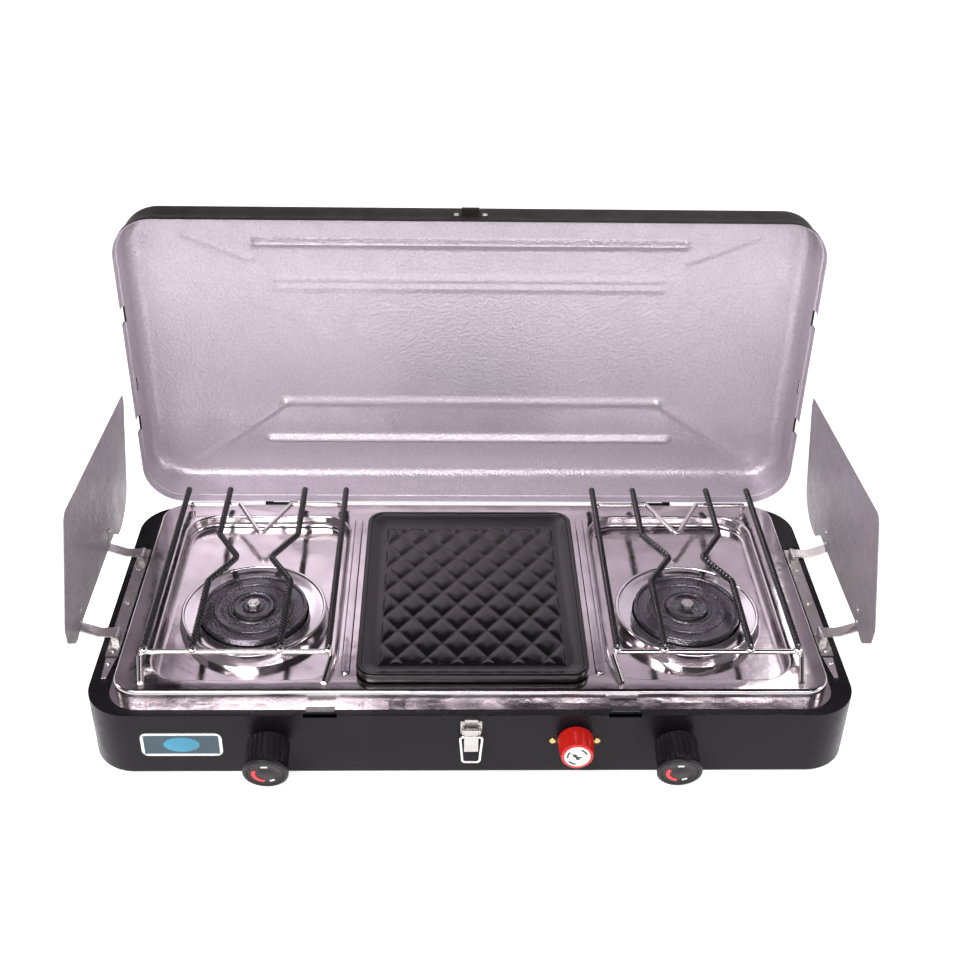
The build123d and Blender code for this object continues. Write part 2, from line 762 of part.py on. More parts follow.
def screen_plane():
    """The left screen's inner face: local x runs to the back, local y up it."""
    lean = math.radians(SCREEN_LEAN)
    up = (math.sin(lean), 0, math.cos(lean))
    normal = Vector(0, 1, 0).cross(Vector(*up))
    return Plane(origin=(-SCREEN_X, 0, SCREEN_FOOT_Z), x_dir=(0, 1, 0), z_dir=normal)


def make_screen():
    """The left plate, with its tall back corner that reaches the lid."""
    back = REAR_Y - 4.5
    outline = Polyline(
        (-48.0, 18.0),
        (-72.0, 12.0),
        (-98.0, 34.0),
        (-104.0, 54.0),
        (-84.0, 158.0),
        (back - 4.0, 138.0),
        (back, 128.0),
        (back, 2.0),
        (104.0, 2.0),
        (84.0, 17.0),
        close=True,
    )
    face = make_face(outline)
    heel = face.vertices().sort_by_distance((back, 2.0, 0))[0]
    face = fillet(heel, SCREEN_HEEL_R)
    for corner in ((-84.0, 158.0, 0), (-104.0, 54.0, 0), (-98.0, 34.0, 0), (-72.0, 12.0, 0)):
        face = fillet(face.vertices().sort_by_distance(corner)[0], SCREEN_CORNER_R)
    return extrude(screen_plane() * face, SCREEN_T / 2, both=True)


def make_arms():
    """The left plate's two curved straps, each rolled round its pin."""
    lean = math.radians(SCREEN_LEAN)
    plate_x = -SCREEN_X - SCREEN_T / 2 - ARM_T / 2
    rise_z = PIVOT_Z + 9.0
    top_z = rise_z + ARM_REACH
    centre = Polyline(
        (-PIVOT_X, PIVOT_Z + ARM_EYE_R - ARM_T / 2),
        (-PIVOT_X - 14.0, PIVOT_Z + ARM_EYE_R - ARM_T / 2),
        (plate_x + (rise_z - SCREEN_FOOT_Z) * math.tan(lean), rise_z),
        (plate_x + (top_z - SCREEN_FOOT_Z) * math.tan(lean), top_z),
    )
    strap = trace(centre, ARM_T)
    arms = []
    for y in ARM_YS:
        plane = Plane(origin=(0, y + ARM_W / 2, 0), x_dir=(1, 0, 0), z_dir=(0, -1, 0))
        body = extrude(plane * strap, ARM_W)
        low_y = y - ARM_W / 2
        high_y = y + ARM_W / 2
        body += rod((-PIVOT_X, low_y, PIVOT_Z), (-PIVOT_X, high_y, PIVOT_Z), ARM_EYE_R)
        bore_r = PIN_R + PIN_CLEAR
        body -= rod((-PIVOT_X, low_y - 1, PIVOT_Z), (-PIVOT_X, high_y + 1, PIVOT_Z), bore_r)
        arms.append(body - make_screen())
    return Compound(children=arms)


def make_screen_bracket():
    """The strip on the left ledge, with two ears for each arm."""
    low = CASE_H
    first = ARM_YS[0] - 24.0
    last = ARM_YS[1] + 14.0
    x = -PIVOT_X
    strip = block(x - BRACKET_W / 2, x + BRACKET_W / 2, first, last, low, low + BRACKET_T)
    for y in ARM_YS:
        for way in (-1, 1):
            near = y + way * (ARM_W / 2 + EAR_GAP)
            far = near + way * EAR_T
            ear = block(x - 3.0, x + 3.0, near, far, low, PIVOT_Z)
            ear += rod((x, near, PIVOT_Z), (x, far, PIVOT_Z), 3.0)
            strip += ear
        reach = ARM_W / 2 + EAR_GAP + EAR_T + 1
        strip -= rod((x, y - reach, PIVOT_Z), (x, y + reach, PIVOT_Z), PIN_R + PIN_CLEAR)
    return strip


def make_screen_pins():
    """The left screen's two hinge pins."""
    pins = []
    for y in ARM_YS:
        half = ARM_W / 2 + EAR_GAP + EAR_T + 0.5
        pins.append(rod((-PIVOT_X, y - half, PIVOT_Z), (-PIVOT_X, y + half, PIVOT_Z), PIN_R))
    return Compound(children=pins)


def make_screen_screws():
    """The screws that hold the left strip on the ledge."""
    top = CASE_H + BRACKET_T
    places = (ARM_YS[0] - 17.0, ARM_YS[0] + 50.0, ARM_YS[1] - 17.0)
    heads = [rivet(-PIVOT_X, y, top, (0, 0, 1), 2.8, 1.6) for y in places]
    return Compound(children=heads)


def make_screen_stop():
    """The bright three-sided tab in front of the left strip, with its rivet."""
    front = ARM_YS[0] - 27.0
    outline = Polyline(
        (-PIVOT_X - 4.0, front),
        (-PIVOT_X + 5.0, front),
        (-PIVOT_X + 1.5, front - 26.0),
        (-PIVOT_X - 2.5, front - 26.0),
        close=True,
    )
    tab = extrude(make_face(Pos(0, 0, CASE_H) * outline), 1.5)
    return tab + rivet(-PIVOT_X - 0.3, front - 7.0, CASE_H + 1.5, (0, 0, 1), 2.2, 1.2)


def make_screen_rivets():
    """The rivets through the left plate and its arms, heads inside."""
    lean = math.radians(SCREEN_LEAN)
    heads = []
    for y in ARM_YS:
        for z in (PIVOT_Z + 15.0, PIVOT_Z + 28.0):
            x = -SCREEN_X + (z - SCREEN_FOOT_Z) * math.tan(lean) + SCREEN_T / 2 / math.cos(lean)
            heads.append(rivet(x, y, z, (math.cos(lean), 0, -math.sin(lean)), 2.6, 1.2))
    return Compound(children=heads)


# -------------------------------------------------------- front fittings


def make_latch_base():
    """The latch's plate on the case, with its upper loop and two cheeks."""
    face = FRONT_Y
    x = LATCH_X
    high = LATCH_PIVOT_Z + 7.4
    plate = block(x - 9, x + 9, face - 1.2, face, LATCH_PIVOT_Z - 6, high)
    plate += block(x - 5.5, x + 5.5, face - 1.2, face, high, high + 3.6)
    plate += block(x - 5.5, x + 5.5, face - 3.4, face, high + 1.8, high + 3.6)
    y = face - LATCH_OUT
    for way in (-1, 1):
        near = x + way * (LATCH_LEVER_W / 2 + 0.3)
        far = near + way * 1.4
        cheek = block(near, far, y, face - 1, LATCH_PIVOT_Z - 3, LATCH_PIVOT_Z + 3)
        cheek += rod((near, y, LATCH_PIVOT_Z), (far, y, LATCH_PIVOT_Z), 3.0)
        plate += cheek
    bore = rod((x - 20, y, LATCH_PIVOT_Z), (x + 20, y, LATCH_PIVOT_Z), 1.0 + PIN_CLEAR)
    return plate - bore


def make_latch_pin():
    """The pin through the latch's cheeks."""
    y = FRONT_Y - LATCH_OUT
    half = LATCH_LEVER_W / 2 + 1.7
    return rod((LATCH_X - half, y, LATCH_PIVOT_Z), (LATCH_X + half, y, LATCH_PIVOT_Z), 1.0)


def make_latch_rivets():
    """The two rivets of the latch's plate."""
    heads = [
        rivet(LATCH_X + dx, FRONT_Y - 1.2, LATCH_PIVOT_Z + 5.2, (0, -1, 0), 1.8, 0.9)
        for dx in (-6.6, 6.6)
    ]
    return Compound(children=heads)


def bail_pivot():
    """Where the bail turns on the lever."""
    return (FRONT_Y - LATCH_OUT - 1.0, LATCH_PIVOT_Z - BAIL_DROP)


def make_latch_lever():
    """The pressed lever that hangs from the pin."""
    x = LATCH_X
    y = FRONT_Y - LATCH_OUT
    half = LATCH_LEVER_W / 2
    z = LATCH_PIVOT_Z
    lever = block(x - half, x + half, y - 1.6, y + 0.2, z - LATCH_LEVER_L, z)
    lever += rod((x - half, y, z), (x + half, y, z), 2.4)
    pivot_y, pivot_z = bail_pivot()
    lever += rod((x - half, pivot_y, pivot_z), (x + half, pivot_y, pivot_z), 2.4)
    lever -= rod((x - half - 1, y, z), (x + half + 1, y, z), 1.0 + PIN_CLEAR)
    bore = BAIL_D / 2 + PIN_CLEAR
    return lever - rod((x - half - 1, pivot_y, pivot_z), (x + half + 1, pivot_y, pivot_z), bore)


def make_latch_bail():
    """The wire bail: a closed loop whose top run passes through the lever."""
    y, z = bail_pivot()
    half = BAIL_W / 2 - BAIL_D / 2
    low = z - BAIL_L + BAIL_D
    points = [
        (LATCH_X - 0.5, y, z),
        (LATCH_X - half, y, z),
        (LATCH_X - half + BAIL_TAPER, y, low),
        (LATCH_X + half - BAIL_TAPER, y, low),
        (LATCH_X + half, y, z),
        (LATCH_X + 0.5, y, z),
    ]
    return wire(points, 2.4, BAIL_D / 2)


def make_badge():
    """A plain pressed badge on the front of the case."""
    plane = Plane(origin=(BADGE_X, FRONT_Y, BADGE_Z), x_dir=(1, 0, 0), z_dir=(0, -1, 0))
    plate = extrude(plane * RectangleRounded(BADGE_W, BADGE_H, 6.0), BADGE_T)
    return plate


# ----------------------------------------------------------------- build

os.makedirs("parts", exist_ok=True)

save("case_shell", make_case())
save("cooktop_panel", make_cooktop())
save("cooktop_clips", make_cooktop_clips())
save("manifold_pipe", make_pipe())
save("gas_inlet", make_gas_inlet())
save("igniter_body", make_igniter_body())
save("igniter_knob", make_igniter_knob())
save("igniter_label", make_igniter_label())
save("igniter_shaft", make_igniter_shaft())
save("igniter_eyelets", make_eyelets())
save("griddle", make_griddle())
save("lid_shell", make_lid())
save("lid_catch", make_lid_catch())
save("lid_catch_rivets", make_lid_catch_rivets())
save("hinge_leaves_case", make_hinge_case())
save("hinge_leaves_lid", make_hinge_lid())
save("hinge_pins", make_hinge_pins())
save("hinge_rivets", make_hinge_rivets())
save("latch_base", make_latch_base())
save("latch_pin", make_latch_pin())
save("latch_rivets", make_latch_rivets())
save("latch_lever", make_latch_lever())
save("latch_bail", make_latch_bail())
save("badge_plate", make_badge())

left_moving = {
    "windscreen_plate": make_screen(),
    "windscreen_arms": make_arms(),
    "windscreen_rivets": make_screen_rivets(),
}
for name, piece in left_moving.items():
    save(f"{name}_left", piece)
    save(f"{name}_right", mirror(piece, about=Plane.YZ))

left_fixed = {
    "windscreen_brackets": make_screen_bracket(),
    "windscreen_pins": make_screen_pins(),
    "windscreen_screws": make_screen_screws(),
    "windscreen_stops": make_screen_stop(),
}
for name, piece in left_fixed.items():
    save(name, Compound(children=[piece, mirror(piece, about=Plane.YZ)]))

pair = SIDES.values()
save("burner_nuts", Compound(children=[make_burner_nut(side) for side in pair]))
save("electrodes", Compound(children=[make_electrode(side) for side in pair]))
save("igniter_wires", Compound(children=[make_igniter_wire(side) for side in pair]))

for word, side in SIDES.items():
    save(f"bowl_{word}", make_bowl(side))
    save(f"burner_pot_{word}", make_burner_pot(side))
    save(f"burner_rings_{word}", make_burner_rings(side))
    save(f"burner_cap_{word}", make_burner_cap(side))
    save(f"valve_{word}", make_valve(side))
    save(f"mixing_tube_{word}", make_mixing_tube(side))
    save(f"valve_stem_{word}", make_stem(side))
    save(f"knob_{word}", make_knob(side))
    save(f"knob_dial_{word}", make_dial(side))
    grate_frame = make_grate_frame(side)
    save(f"grate_frame_{word}", grate_frame)
    save(f"grate_bars_{word}", make_grate_bars(side, grate_frame))
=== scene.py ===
"""Looks for a two-burner camping stove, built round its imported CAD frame.

Laid out as a Blender add-on. Each operator makes one piece or one group of
like pieces, at the places that the frame gives. Sizes in this file are in
millimetres and become metres when a mesh is made.
"""

import json
import math

import bmesh
import bpy
import numpy as np
from mathutils import Matrix, Vector


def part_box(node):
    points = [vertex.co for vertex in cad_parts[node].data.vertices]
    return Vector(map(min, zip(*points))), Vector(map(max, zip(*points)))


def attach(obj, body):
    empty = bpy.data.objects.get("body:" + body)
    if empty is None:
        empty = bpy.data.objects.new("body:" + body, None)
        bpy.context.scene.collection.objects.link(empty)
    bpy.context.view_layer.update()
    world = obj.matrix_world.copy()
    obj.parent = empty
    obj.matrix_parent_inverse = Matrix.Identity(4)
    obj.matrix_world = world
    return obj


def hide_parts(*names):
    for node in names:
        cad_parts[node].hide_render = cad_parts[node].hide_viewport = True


bl_info = {
    "name": "Camping stove",
    "version": (1, 0, 0),
    "blender": (4, 5, 0),
    "location": "3D View > Sidebar > Stove",
    "description": "Builds the looks of a two-burner camping stove round its CAD frame",
    "category": "Object",
}

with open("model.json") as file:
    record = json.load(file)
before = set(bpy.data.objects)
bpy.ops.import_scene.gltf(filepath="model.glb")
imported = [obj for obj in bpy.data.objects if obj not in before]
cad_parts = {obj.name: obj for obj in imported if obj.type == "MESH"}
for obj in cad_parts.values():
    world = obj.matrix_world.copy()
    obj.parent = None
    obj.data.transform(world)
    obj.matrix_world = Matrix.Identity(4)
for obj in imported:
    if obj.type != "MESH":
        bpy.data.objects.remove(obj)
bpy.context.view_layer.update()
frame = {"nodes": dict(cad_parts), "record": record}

MM = 0.001
FULL_TURN = 2 * math.pi
SIDES = {"left": -1, "right": 1}
BODY_OF = {
    node: body for body, nodes in frame["record"]["behaviour"]["bodies"].items() for node in nodes
}
SLOT_OF = {part["node"]: part["material_slot"] for part in frame["record"]["subparts"]}


def box_mm(node):
    """The lowest and highest corners of a CAD node, in millimetres."""
    low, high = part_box(node)
    return np.array(low) / MM, np.array(high) / MM


# Places read from the frame.
FRONT_Y = box_mm("case_shell")[0][1]
LID_LOW, LID_HIGH = box_mm("lid_shell")

# Places that the CAD sets, in millimetres.
SCREEN_ARM_YS = (-54.0, 64.0)
SLOT_Y = 23.7
KNOB_X = 170.0
KNOB_Z = 43.0
KNOB_DROOP = math.radians(12.0)
IGNITER_X = 86.0
IGNITER_Z = 42.0
BURNER_X = 195.0
BURNER_Y = -28.0
BORE_R = 3.2
GRATE_X = 201.0


# ------------------------------------------------------------ properties


class StoveSizes(bpy.types.PropertyGroup):
    """Sizes of the details that are worked out in this file."""

    twist_pitch: bpy.props.FloatProperty(
        name="Twist pitch",
        description="Length of one whole turn of a pan support bar",
        default=0.017,
        unit="LENGTH",
    )
    bar_half_side: bpy.props.FloatProperty(
        name="Bar half side",
        description="Half the side of the square section of a pan support bar",
        default=0.00242,
        unit="LENGTH",
    )
    rib_height: bpy.props.FloatProperty(
        name="Lid rib height",
        description="How far the lid's pressed ribs stand into the lid",
        default=0.0044,
        unit="LENGTH",
    )
    bump_height: bpy.props.FloatProperty(
        name="Griddle bump height",
        description="How far the griddle's diamonds stand above the grooves",
        default=0.0021,
        unit="LENGTH",
    )
    bump_width: bpy.props.FloatProperty(
        name="Griddle bump width",
        description="Distance across from one griddle diamond to the next in a row",
        default=0.026,
        unit="LENGTH",
    )
    knob_flutes: bpy.props.IntProperty(
        name="Knob flutes",
        description="Number of flutes round each gas knob",
        default=26,
    )


class StoveColours(bpy.types.PropertyGroup):
    """The colours that a user would change."""

    lid_inside: bpy.props.FloatVectorProperty(
        name="Lid inside",
        description="Hammered silver paint inside the lid",
        default=(0.60, 0.545, 0.60),
        subtype="COLOR",
    )
    lid_outside: bpy.props.FloatVectorProperty(
        name="Lid outside",
        description="Dark paint outside the lid",
        default=(0.024, 0.018, 0.018),
        subtype="COLOR",
    )
    screen: bpy.props.FloatVectorProperty(
        name="Windscreens",
        description="Hammered silver paint of the windscreens",
        default=(0.42, 0.375, 0.415),
        subtype="COLOR",
    )
    case: bpy.props.FloatVectorProperty(
        name="Case",
        description="Near-black paint of the case",
        default=(0.0105, 0.0085, 0.0112),
        subtype="COLOR",
    )
    igniter: bpy.props.FloatVectorProperty(
        name="Igniter knob",
        description="Red of the moulded igniter knob",
        default=(0.62, 0.012, 0.008),
        subtype="COLOR",
    )


def sizes():
    """The size settings of the current scene."""
    return bpy.context.scene.stove_sizes


def colours():
    """The colour settings of the current scene."""
    return bpy.context.scene.stove_colours


# ---------------------------------------------------------- shader groups


def new_group(name, inputs, outputs):
    """An empty shader group with float inputs, a vector input and float outputs."""
    tree = bpy.data.node_groups.new(name, "ShaderNodeTree")
    tree.interface.new_socket(name="Vector", in_out="INPUT", socket_type="NodeSocketVector")
    for label, value in inputs.items():
        socket = tree.interface.new_socket(
            name=label, in_out="INPUT", socket_type="NodeSocketFloat"
        )
        socket.default_value = value
    for label in outputs:
        tree.interface.new_socket(name=label, in_out="OUTPUT", socket_type="NodeSocketFloat")
    return tree, tree.nodes.new("NodeGroupInput"), tree.nodes.new("NodeGroupOutput")


def cloud_group():
    """Soft uneven clouds between two values, for sheen and tint that wander."""
    tree, given, result = new_group(
        "clouds", {"Scale": 40.0, "Detail": 4.0, "Low": 0.0, "High": 1.0}, ["Value"]
    )
    noise = tree.nodes.new("ShaderNodeTexNoise")
    spread = tree.nodes.new("ShaderNodeMapRange")
    spread.inputs["From Min"].default_value = 0.33
    spread.inputs["From Max"].default_value = 0.67
    for label in ("Vector", "Scale", "Detail"):
        tree.links.new(given.outputs[label], noise.inputs[label])
    tree.links.new(noise.outputs["Fac"], spread.inputs["Value"])
    tree.links.new(given.outputs["Low"], spread.inputs["To Min"])
    tree.links.new(given.outputs["High"], spread.inputs["To Max"])
    tree.links.new(spread.outputs["Result"], result.inputs["Value"])
    return tree


def hammer_group():
    """Hammered paint: smooth round pools that run into each other."""
    tree, given, result = new_group("hammered", {"Scale": 300.0}, ["Height"])
    pools = tree.nodes.new("ShaderNodeTexVoronoi")
    pools.feature = "SMOOTH_F1"
    pools.inputs["Smoothness"].default_value = 0.6
    wander = tree.nodes.new("ShaderNodeTexNoise")
    wander.inputs["Detail"].default_value = 3.0
    join = tree.nodes.new("ShaderNodeMath")
    join.operation = "MULTIPLY_ADD"
    join.inputs[1].default_value = 0.6
    for node in (pools, wander):
        tree.links.new(given.outputs["Vector"], node.inputs["Vector"])
        tree.links.new(given.outputs["Scale"], node.inputs["Scale"])
    tree.links.new(wander.outputs["Fac"], join.inputs[0])
    tree.links.new(pools.outputs["Distance"], join.inputs[2])
    tree.links.new(join.outputs["Value"], result.inputs["Height"])
    return tree


GROUPS = {"clouds": cloud_group, "hammered": hammer_group}


# -------------------------------------------------------------- finishes


def make_finish(
    name,
    colour,
    metallic=0.0,
    rough=(0.3, 0.4),
    rough_scale=55.0,
    tint=0.25,
    tint_scale=30.0,
    relief=("clouds", 900.0),
    depth=0.03,
    coat=0.0,
    shine=0.5,
):
    """A finish with wandering sheen and tint and a fine relief, depth in millimetres."""
    material = bpy.data.materials.new(name)
    material.use_nodes = True
    tree = material.node_tree
    surface = tree.nodes["Principled BSDF"]
    place = tree.nodes.new("ShaderNodeTexCoord").outputs["Object"]

    def grouped(label, **values):
        node = tree.nodes.new("ShaderNodeGroup")
        node.node_tree = bpy.data.node_groups.get(label) or GROUPS[label]()
        tree.links.new(place, node.inputs["Vector"])
        for socket, value in values.items():
            node.inputs[socket].default_value = value
        return node

    sheen = grouped("clouds", Scale=rough_scale, Low=rough[0], High=rough[1])
    tree.links.new(sheen.outputs["Value"], surface.inputs["Roughness"])
    tone = grouped("clouds", Scale=tint_scale, Detail=6.0)
    mix = tree.nodes.new("ShaderNodeMix")
    mix.data_type = "RGBA"
    mix.inputs["A"].default_value = (*colour, 1.0)
    mix.inputs["B"].default_value = (*[part * (1 - tint) for part in colour], 1.0)
    tree.links.new(tone.outputs["Value"], mix.inputs["Factor"])
    tree.links.new(mix.outputs["Result"], surface.inputs["Base Color"])
    pattern, scale = relief
    fine = grouped(pattern, Scale=scale)
    bump = tree.nodes.new("ShaderNodeBump")
    bump.inputs["Strength"].default_value = 1.0
    bump.inputs["Distance"].default_value = depth * MM
    tree.links.new(fine.outputs[0], bump.inputs["Height"])
    tree.links.new(bump.outputs["Normal"], surface.inputs["Normal"])
    surface.inputs["Metallic"].default_value = metallic
    surface.inputs["Coat Weight"].default_value = coat
    surface.inputs["Coat Roughness"].default_value = 0.12
    surface.inputs["Specular IOR Level"].default_value = shine
    return material


def finish_table():
    """What each finish is made of, by the name of the record's slot or of a part of one."""
    paint = colours()
    return {
        "case_paint": dict(colour=paint.case, rough=(0.24, 0.36), shine=0.16, depth=0.05),
        "stainless": dict(
            colour=(0.66, 0.61, 0.63),
            metallic=1.0,
            rough=(0.1, 0.22),
            rough_scale=24.0,
            tint=0.22,
            relief=("clouds", 17.0),
            depth=0.4,
        ),
        "polished_steel": dict(
            colour=(0.9, 0.87, 0.88),
            metallic=1.0,
            rough=(0.06, 0.13),
            tint=0.08,
            relief=("clouds", 60.0),
            depth=0.05,
        ),
        "burner_iron": dict(
            colour=(0.17, 0.16, 0.18),
            metallic=0.9,
            rough=(0.2, 0.34),
            relief=("hammered", 520.0),
            depth=0.34,
        ),
        "burner_cap": dict(
            colour=(0.16, 0.155, 0.17),
            metallic=0.9,
            rough=(0.2, 0.34),
            relief=("hammered", 420.0),
            depth=0.3,
        ),
        "bright_nickel": dict(
            colour=(0.86, 0.83, 0.82), metallic=1.0, rough=(0.09, 0.18), tint=0.1, depth=0.008
        ),
        "black_bar": dict(
            colour=(0.010, 0.009, 0.011), rough=(0.14, 0.24), depth=0.05, coat=0.5, shine=0.8
        ),
        "griddle_coat": dict(
            colour=(0.007, 0.006, 0.007), rough=(0.12, 0.22), depth=0.05, coat=0.2, shine=0.4
        ),
        "lid_paint": dict(
            colour=paint.lid_inside,
            metallic=0.55,
            rough=(0.34, 0.48),
            tint=0.16,
            tint_scale=420.0,
            relief=("hammered", 380.0),
            depth=0.3,
        ),
        "lid_outside": dict(
            colour=paint.lid_outside,
            rough=(0.4, 0.52),
            shine=0.1,
            relief=("hammered", 700.0),
            depth=0.12,
        ),
        "screen_paint": dict(
            colour=paint.screen,
            metallic=0.5,
            rough=(0.32, 0.46),
            tint=0.22,
            tint_scale=260.0,
            relief=("hammered", 330.0),
            depth=0.6,
        ),
        "zinc": dict(
            colour=(0.66, 0.64, 0.62), metallic=1.0, rough=(0.22, 0.38), tint=0.2, depth=0.01
        ),
        "knob_plastic": dict(
            colour=(0.009, 0.008, 0.009), rough=(0.32, 0.46), shine=0.3, depth=0.04
        ),
        "dial_plastic": dict(
            colour=(0.011, 0.01, 0.011), rough=(0.38, 0.5), shine=0.3, depth=0.05
        ),
        "dial_red": dict(colour=(0.66, 0.02, 0.03), rough=(0.35, 0.45), tint=0.15, depth=0.01),
        "dial_white": dict(colour=(0.75, 0.74, 0.72), rough=(0.35, 0.45), tint=0.1, depth=0.01),
        "igniter_red": dict(colour=paint.igniter, rough=(0.28, 0.38), tint=0.15, depth=0.02),
        "label_white": dict(colour=(0.82, 0.82, 0.8), rough=(0.3, 0.4), tint=0.06, depth=0.008),
        "label_black": dict(colour=(0.02, 0.02, 0.02), rough=(0.35, 0.45), depth=0.008),
        "brass": dict(
            colour=(0.72, 0.5, 0.2), metallic=1.0, rough=(0.18, 0.32), tint=0.2, depth=0.01
        ),
        "ceramic": dict(
            colour=(0.78, 0.77, 0.73), rough=(0.15, 0.25), tint=0.1, coat=0.5, depth=0.01
        ),
        "wire_sleeve": dict(colour=(0.02, 0.02, 0.022), rough=(0.4, 0.5), depth=0.02),
        "badge_metal": dict(
            colour=(0.78, 0.78, 0.77), metallic=1.0, rough=(0.14, 0.26), tint=0.1, depth=0.01
        ),
        "badge_field": dict(colour=(0.012, 0.05, 0.075), rough=(0.2, 0.3), tint=0.3, coat=0.4),
        "badge_lens": dict(colour=(0.02, 0.27, 0.42), rough=(0.15, 0.25), tint=0.3, coat=0.5),
        "pipe_metal": dict(
            colour=(0.55, 0.53, 0.5), metallic=1.0, rough=(0.25, 0.4), tint=0.2, depth=0.01
        ),
    }


def finish(name):
    """The material of a finish, made the first time it is asked for."""
    label = f"{name}_finish"
    return bpy.data.materials.get(label) or make_finish(label, **finish_table()[name])


# ------------------------------------------------------------ mesh making


def skin(rings, closed_rows=False, caps=False):
    """Points and faces of a surface through rings, each joined to the next.

    Row i and column j of the rings give the point P(i, j). Columns run once
    round, rows run along, and a cap fills the first and the last ring.
    """
    rows, columns, _ = rings.shape
    here = np.arange(rows * columns).reshape(rows, columns)
    after = np.roll(here, -1, axis=0) if closed_rows else here[1:]
    here_rows = here if closed_rows else here[:-1]
    quads = np.stack(
        [here_rows, np.roll(here_rows, -1, axis=1), np.roll(after, -1, axis=1), after], axis=-1
    ).reshape(-1, 4)
    faces = [quads]
    if caps:
        faces += [here[:1, ::-1], here[-1:]]
    return rings.reshape(-1, 3), faces


def joined(parts):
    """Several pairs of points and faces made into one pair."""
    points = []
    faces = []
    count = 0
    for part_points, part_faces in parts:
        points.append(part_points)
        faces += [block + count for block in part_faces]
        count += len(part_points)
    return np.concatenate(points), faces


def axes(origin, right, out):
    """A place as an origin and three unit directions: right, up and out."""
    right = np.array(right, float)
    out = np.array(out, float) / np.linalg.norm(out)
    return np.array(origin, float), np.stack([right, np.cross(out, right), out])


def show(thing):
    """Puts an object into the scene."""
    bpy.context.scene.collection.objects.link(thing)


def upright(x, y, z):
    """A place whose out direction is straight up."""
    return axes((x, y, z), (1, 0, 0), (0, 0, 1))


def placed(place, x, y, z):
    """Points with coordinates x, y and z along a place's three directions."""
    origin, directions = place
    return origin + np.stack(np.broadcast_arrays(x, y, z), axis=-1) @ directions


def turned(place, profile, steps, ripple=None):
    """A profile of radius and height carried once round a place's out direction.

    P(i, t) = r(i) cos t right + r(i) sin t up + h(i) out, where a ripple may
    change r and h with t.
    """
    profile = np.array(profile, float)
    turn = np.linspace(0, FULL_TURN, steps, endpoint=False)[None, :]
    radius = profile[:, :1] + 0 * turn
    height = profile[:, 1:] + 0 * turn
    if ripple:
        radius, height = ripple(turn, radius, height)
    return placed(place, radius * np.cos(turn), radius * np.sin(turn), height)


def bent_line(points, bend, step):
    """A line of straight runs with round bends, as points a step apart.

    Each corner C becomes the arc of the given radius that touches both runs,
    and the whole line is then read off at even distances along it.
    """
    corners = np.array(points, float)
    runs = [corners[:1]]
    share = np.linspace(0, 1, 13)[:, None]
    for before, corner, after in zip(corners[:-2], corners[1:-1], corners[2:]):
        back = (before - corner) / np.linalg.norm(before - corner)
        ahead = (after - corner) / np.linalg.norm(after - corner)
        half = math.acos(float(back @ ahead)) / 2
        middle = corner + (back + ahead) / np.linalg.norm(back + ahead) * bend / math.sin(half)
        start = corner + back * bend / math.tan(half) - middle
        end = corner + ahead * bend / math.tan(half) - middle
        sweep = math.pi - 2 * half
        arc = (np.sin((1 - share) * sweep) * start + np.sin(share * sweep) * end) / math.sin(sweep)
        runs.append(middle + arc)
    line = np.concatenate(runs + [corners[-1:]])
    travel = np.concatenate([[0], np.cumsum(np.linalg.norm(np.diff(line, axis=0), axis=1))])
    marks = np.linspace(0, travel[-1], int(travel[-1] / step) + 1)
    return np.stack([np.interp(marks, travel, line[:, axis]) for axis in range(3)], axis=-1), marks


CORNER_CELLS = 10


def outline_grid(half_x, half_y, radius, cells, centre=(0.0, 0.0)):
    """Grid points that fill a rectangle with round corners.

    The grid is square to the sides, and in each corner square the unit
    coordinates p and q bend to p sqrt(1 - q^2 / 2) and q sqrt(1 - p^2 / 2),
    which carries the square's edge onto the quarter circle.
    """
    lines = []
    corner = np.linspace(0, radius, CORNER_CELLS + 1)[1:]
    for half, count in zip((half_x, half_y), cells):
        core = np.linspace(radius - half, half - radius, count + 1)
        lines.append(np.concatenate([core[0] - corner[::-1], core, core[-1] + corner]))
    x, y = np.meshgrid(*lines)
    p = np.clip((np.abs(x) - half_x + radius) / radius, 0, 1)
    q = np.clip((np.abs(y) - half_y + radius) / radius, 0, 1)
    bent_x = np.abs(x) - radius * p * (1 - np.sqrt(1 - q * q / 2))
    bent_y = np.abs(y) - radius * q * (1 - np.sqrt(1 - p * p / 2))
    return centre[0] + np.sign(x) * bent_x, centre[1] + np.sign(y) * bent_y


def once_round(grid):
    """The values along a grid's edge, once round."""
    return np.concatenate([grid[0, :-1], grid[:-1, -1], grid[-1, :0:-1], grid[:0:-1, 0]])


def grid_quads(index):
    """The quads of a grid of point numbers."""
    corners = [index[:-1, :-1], index[:-1, 1:], index[1:, 1:], index[1:, :-1]]
    return np.stack(corners, axis=-1).reshape(-1, 4)


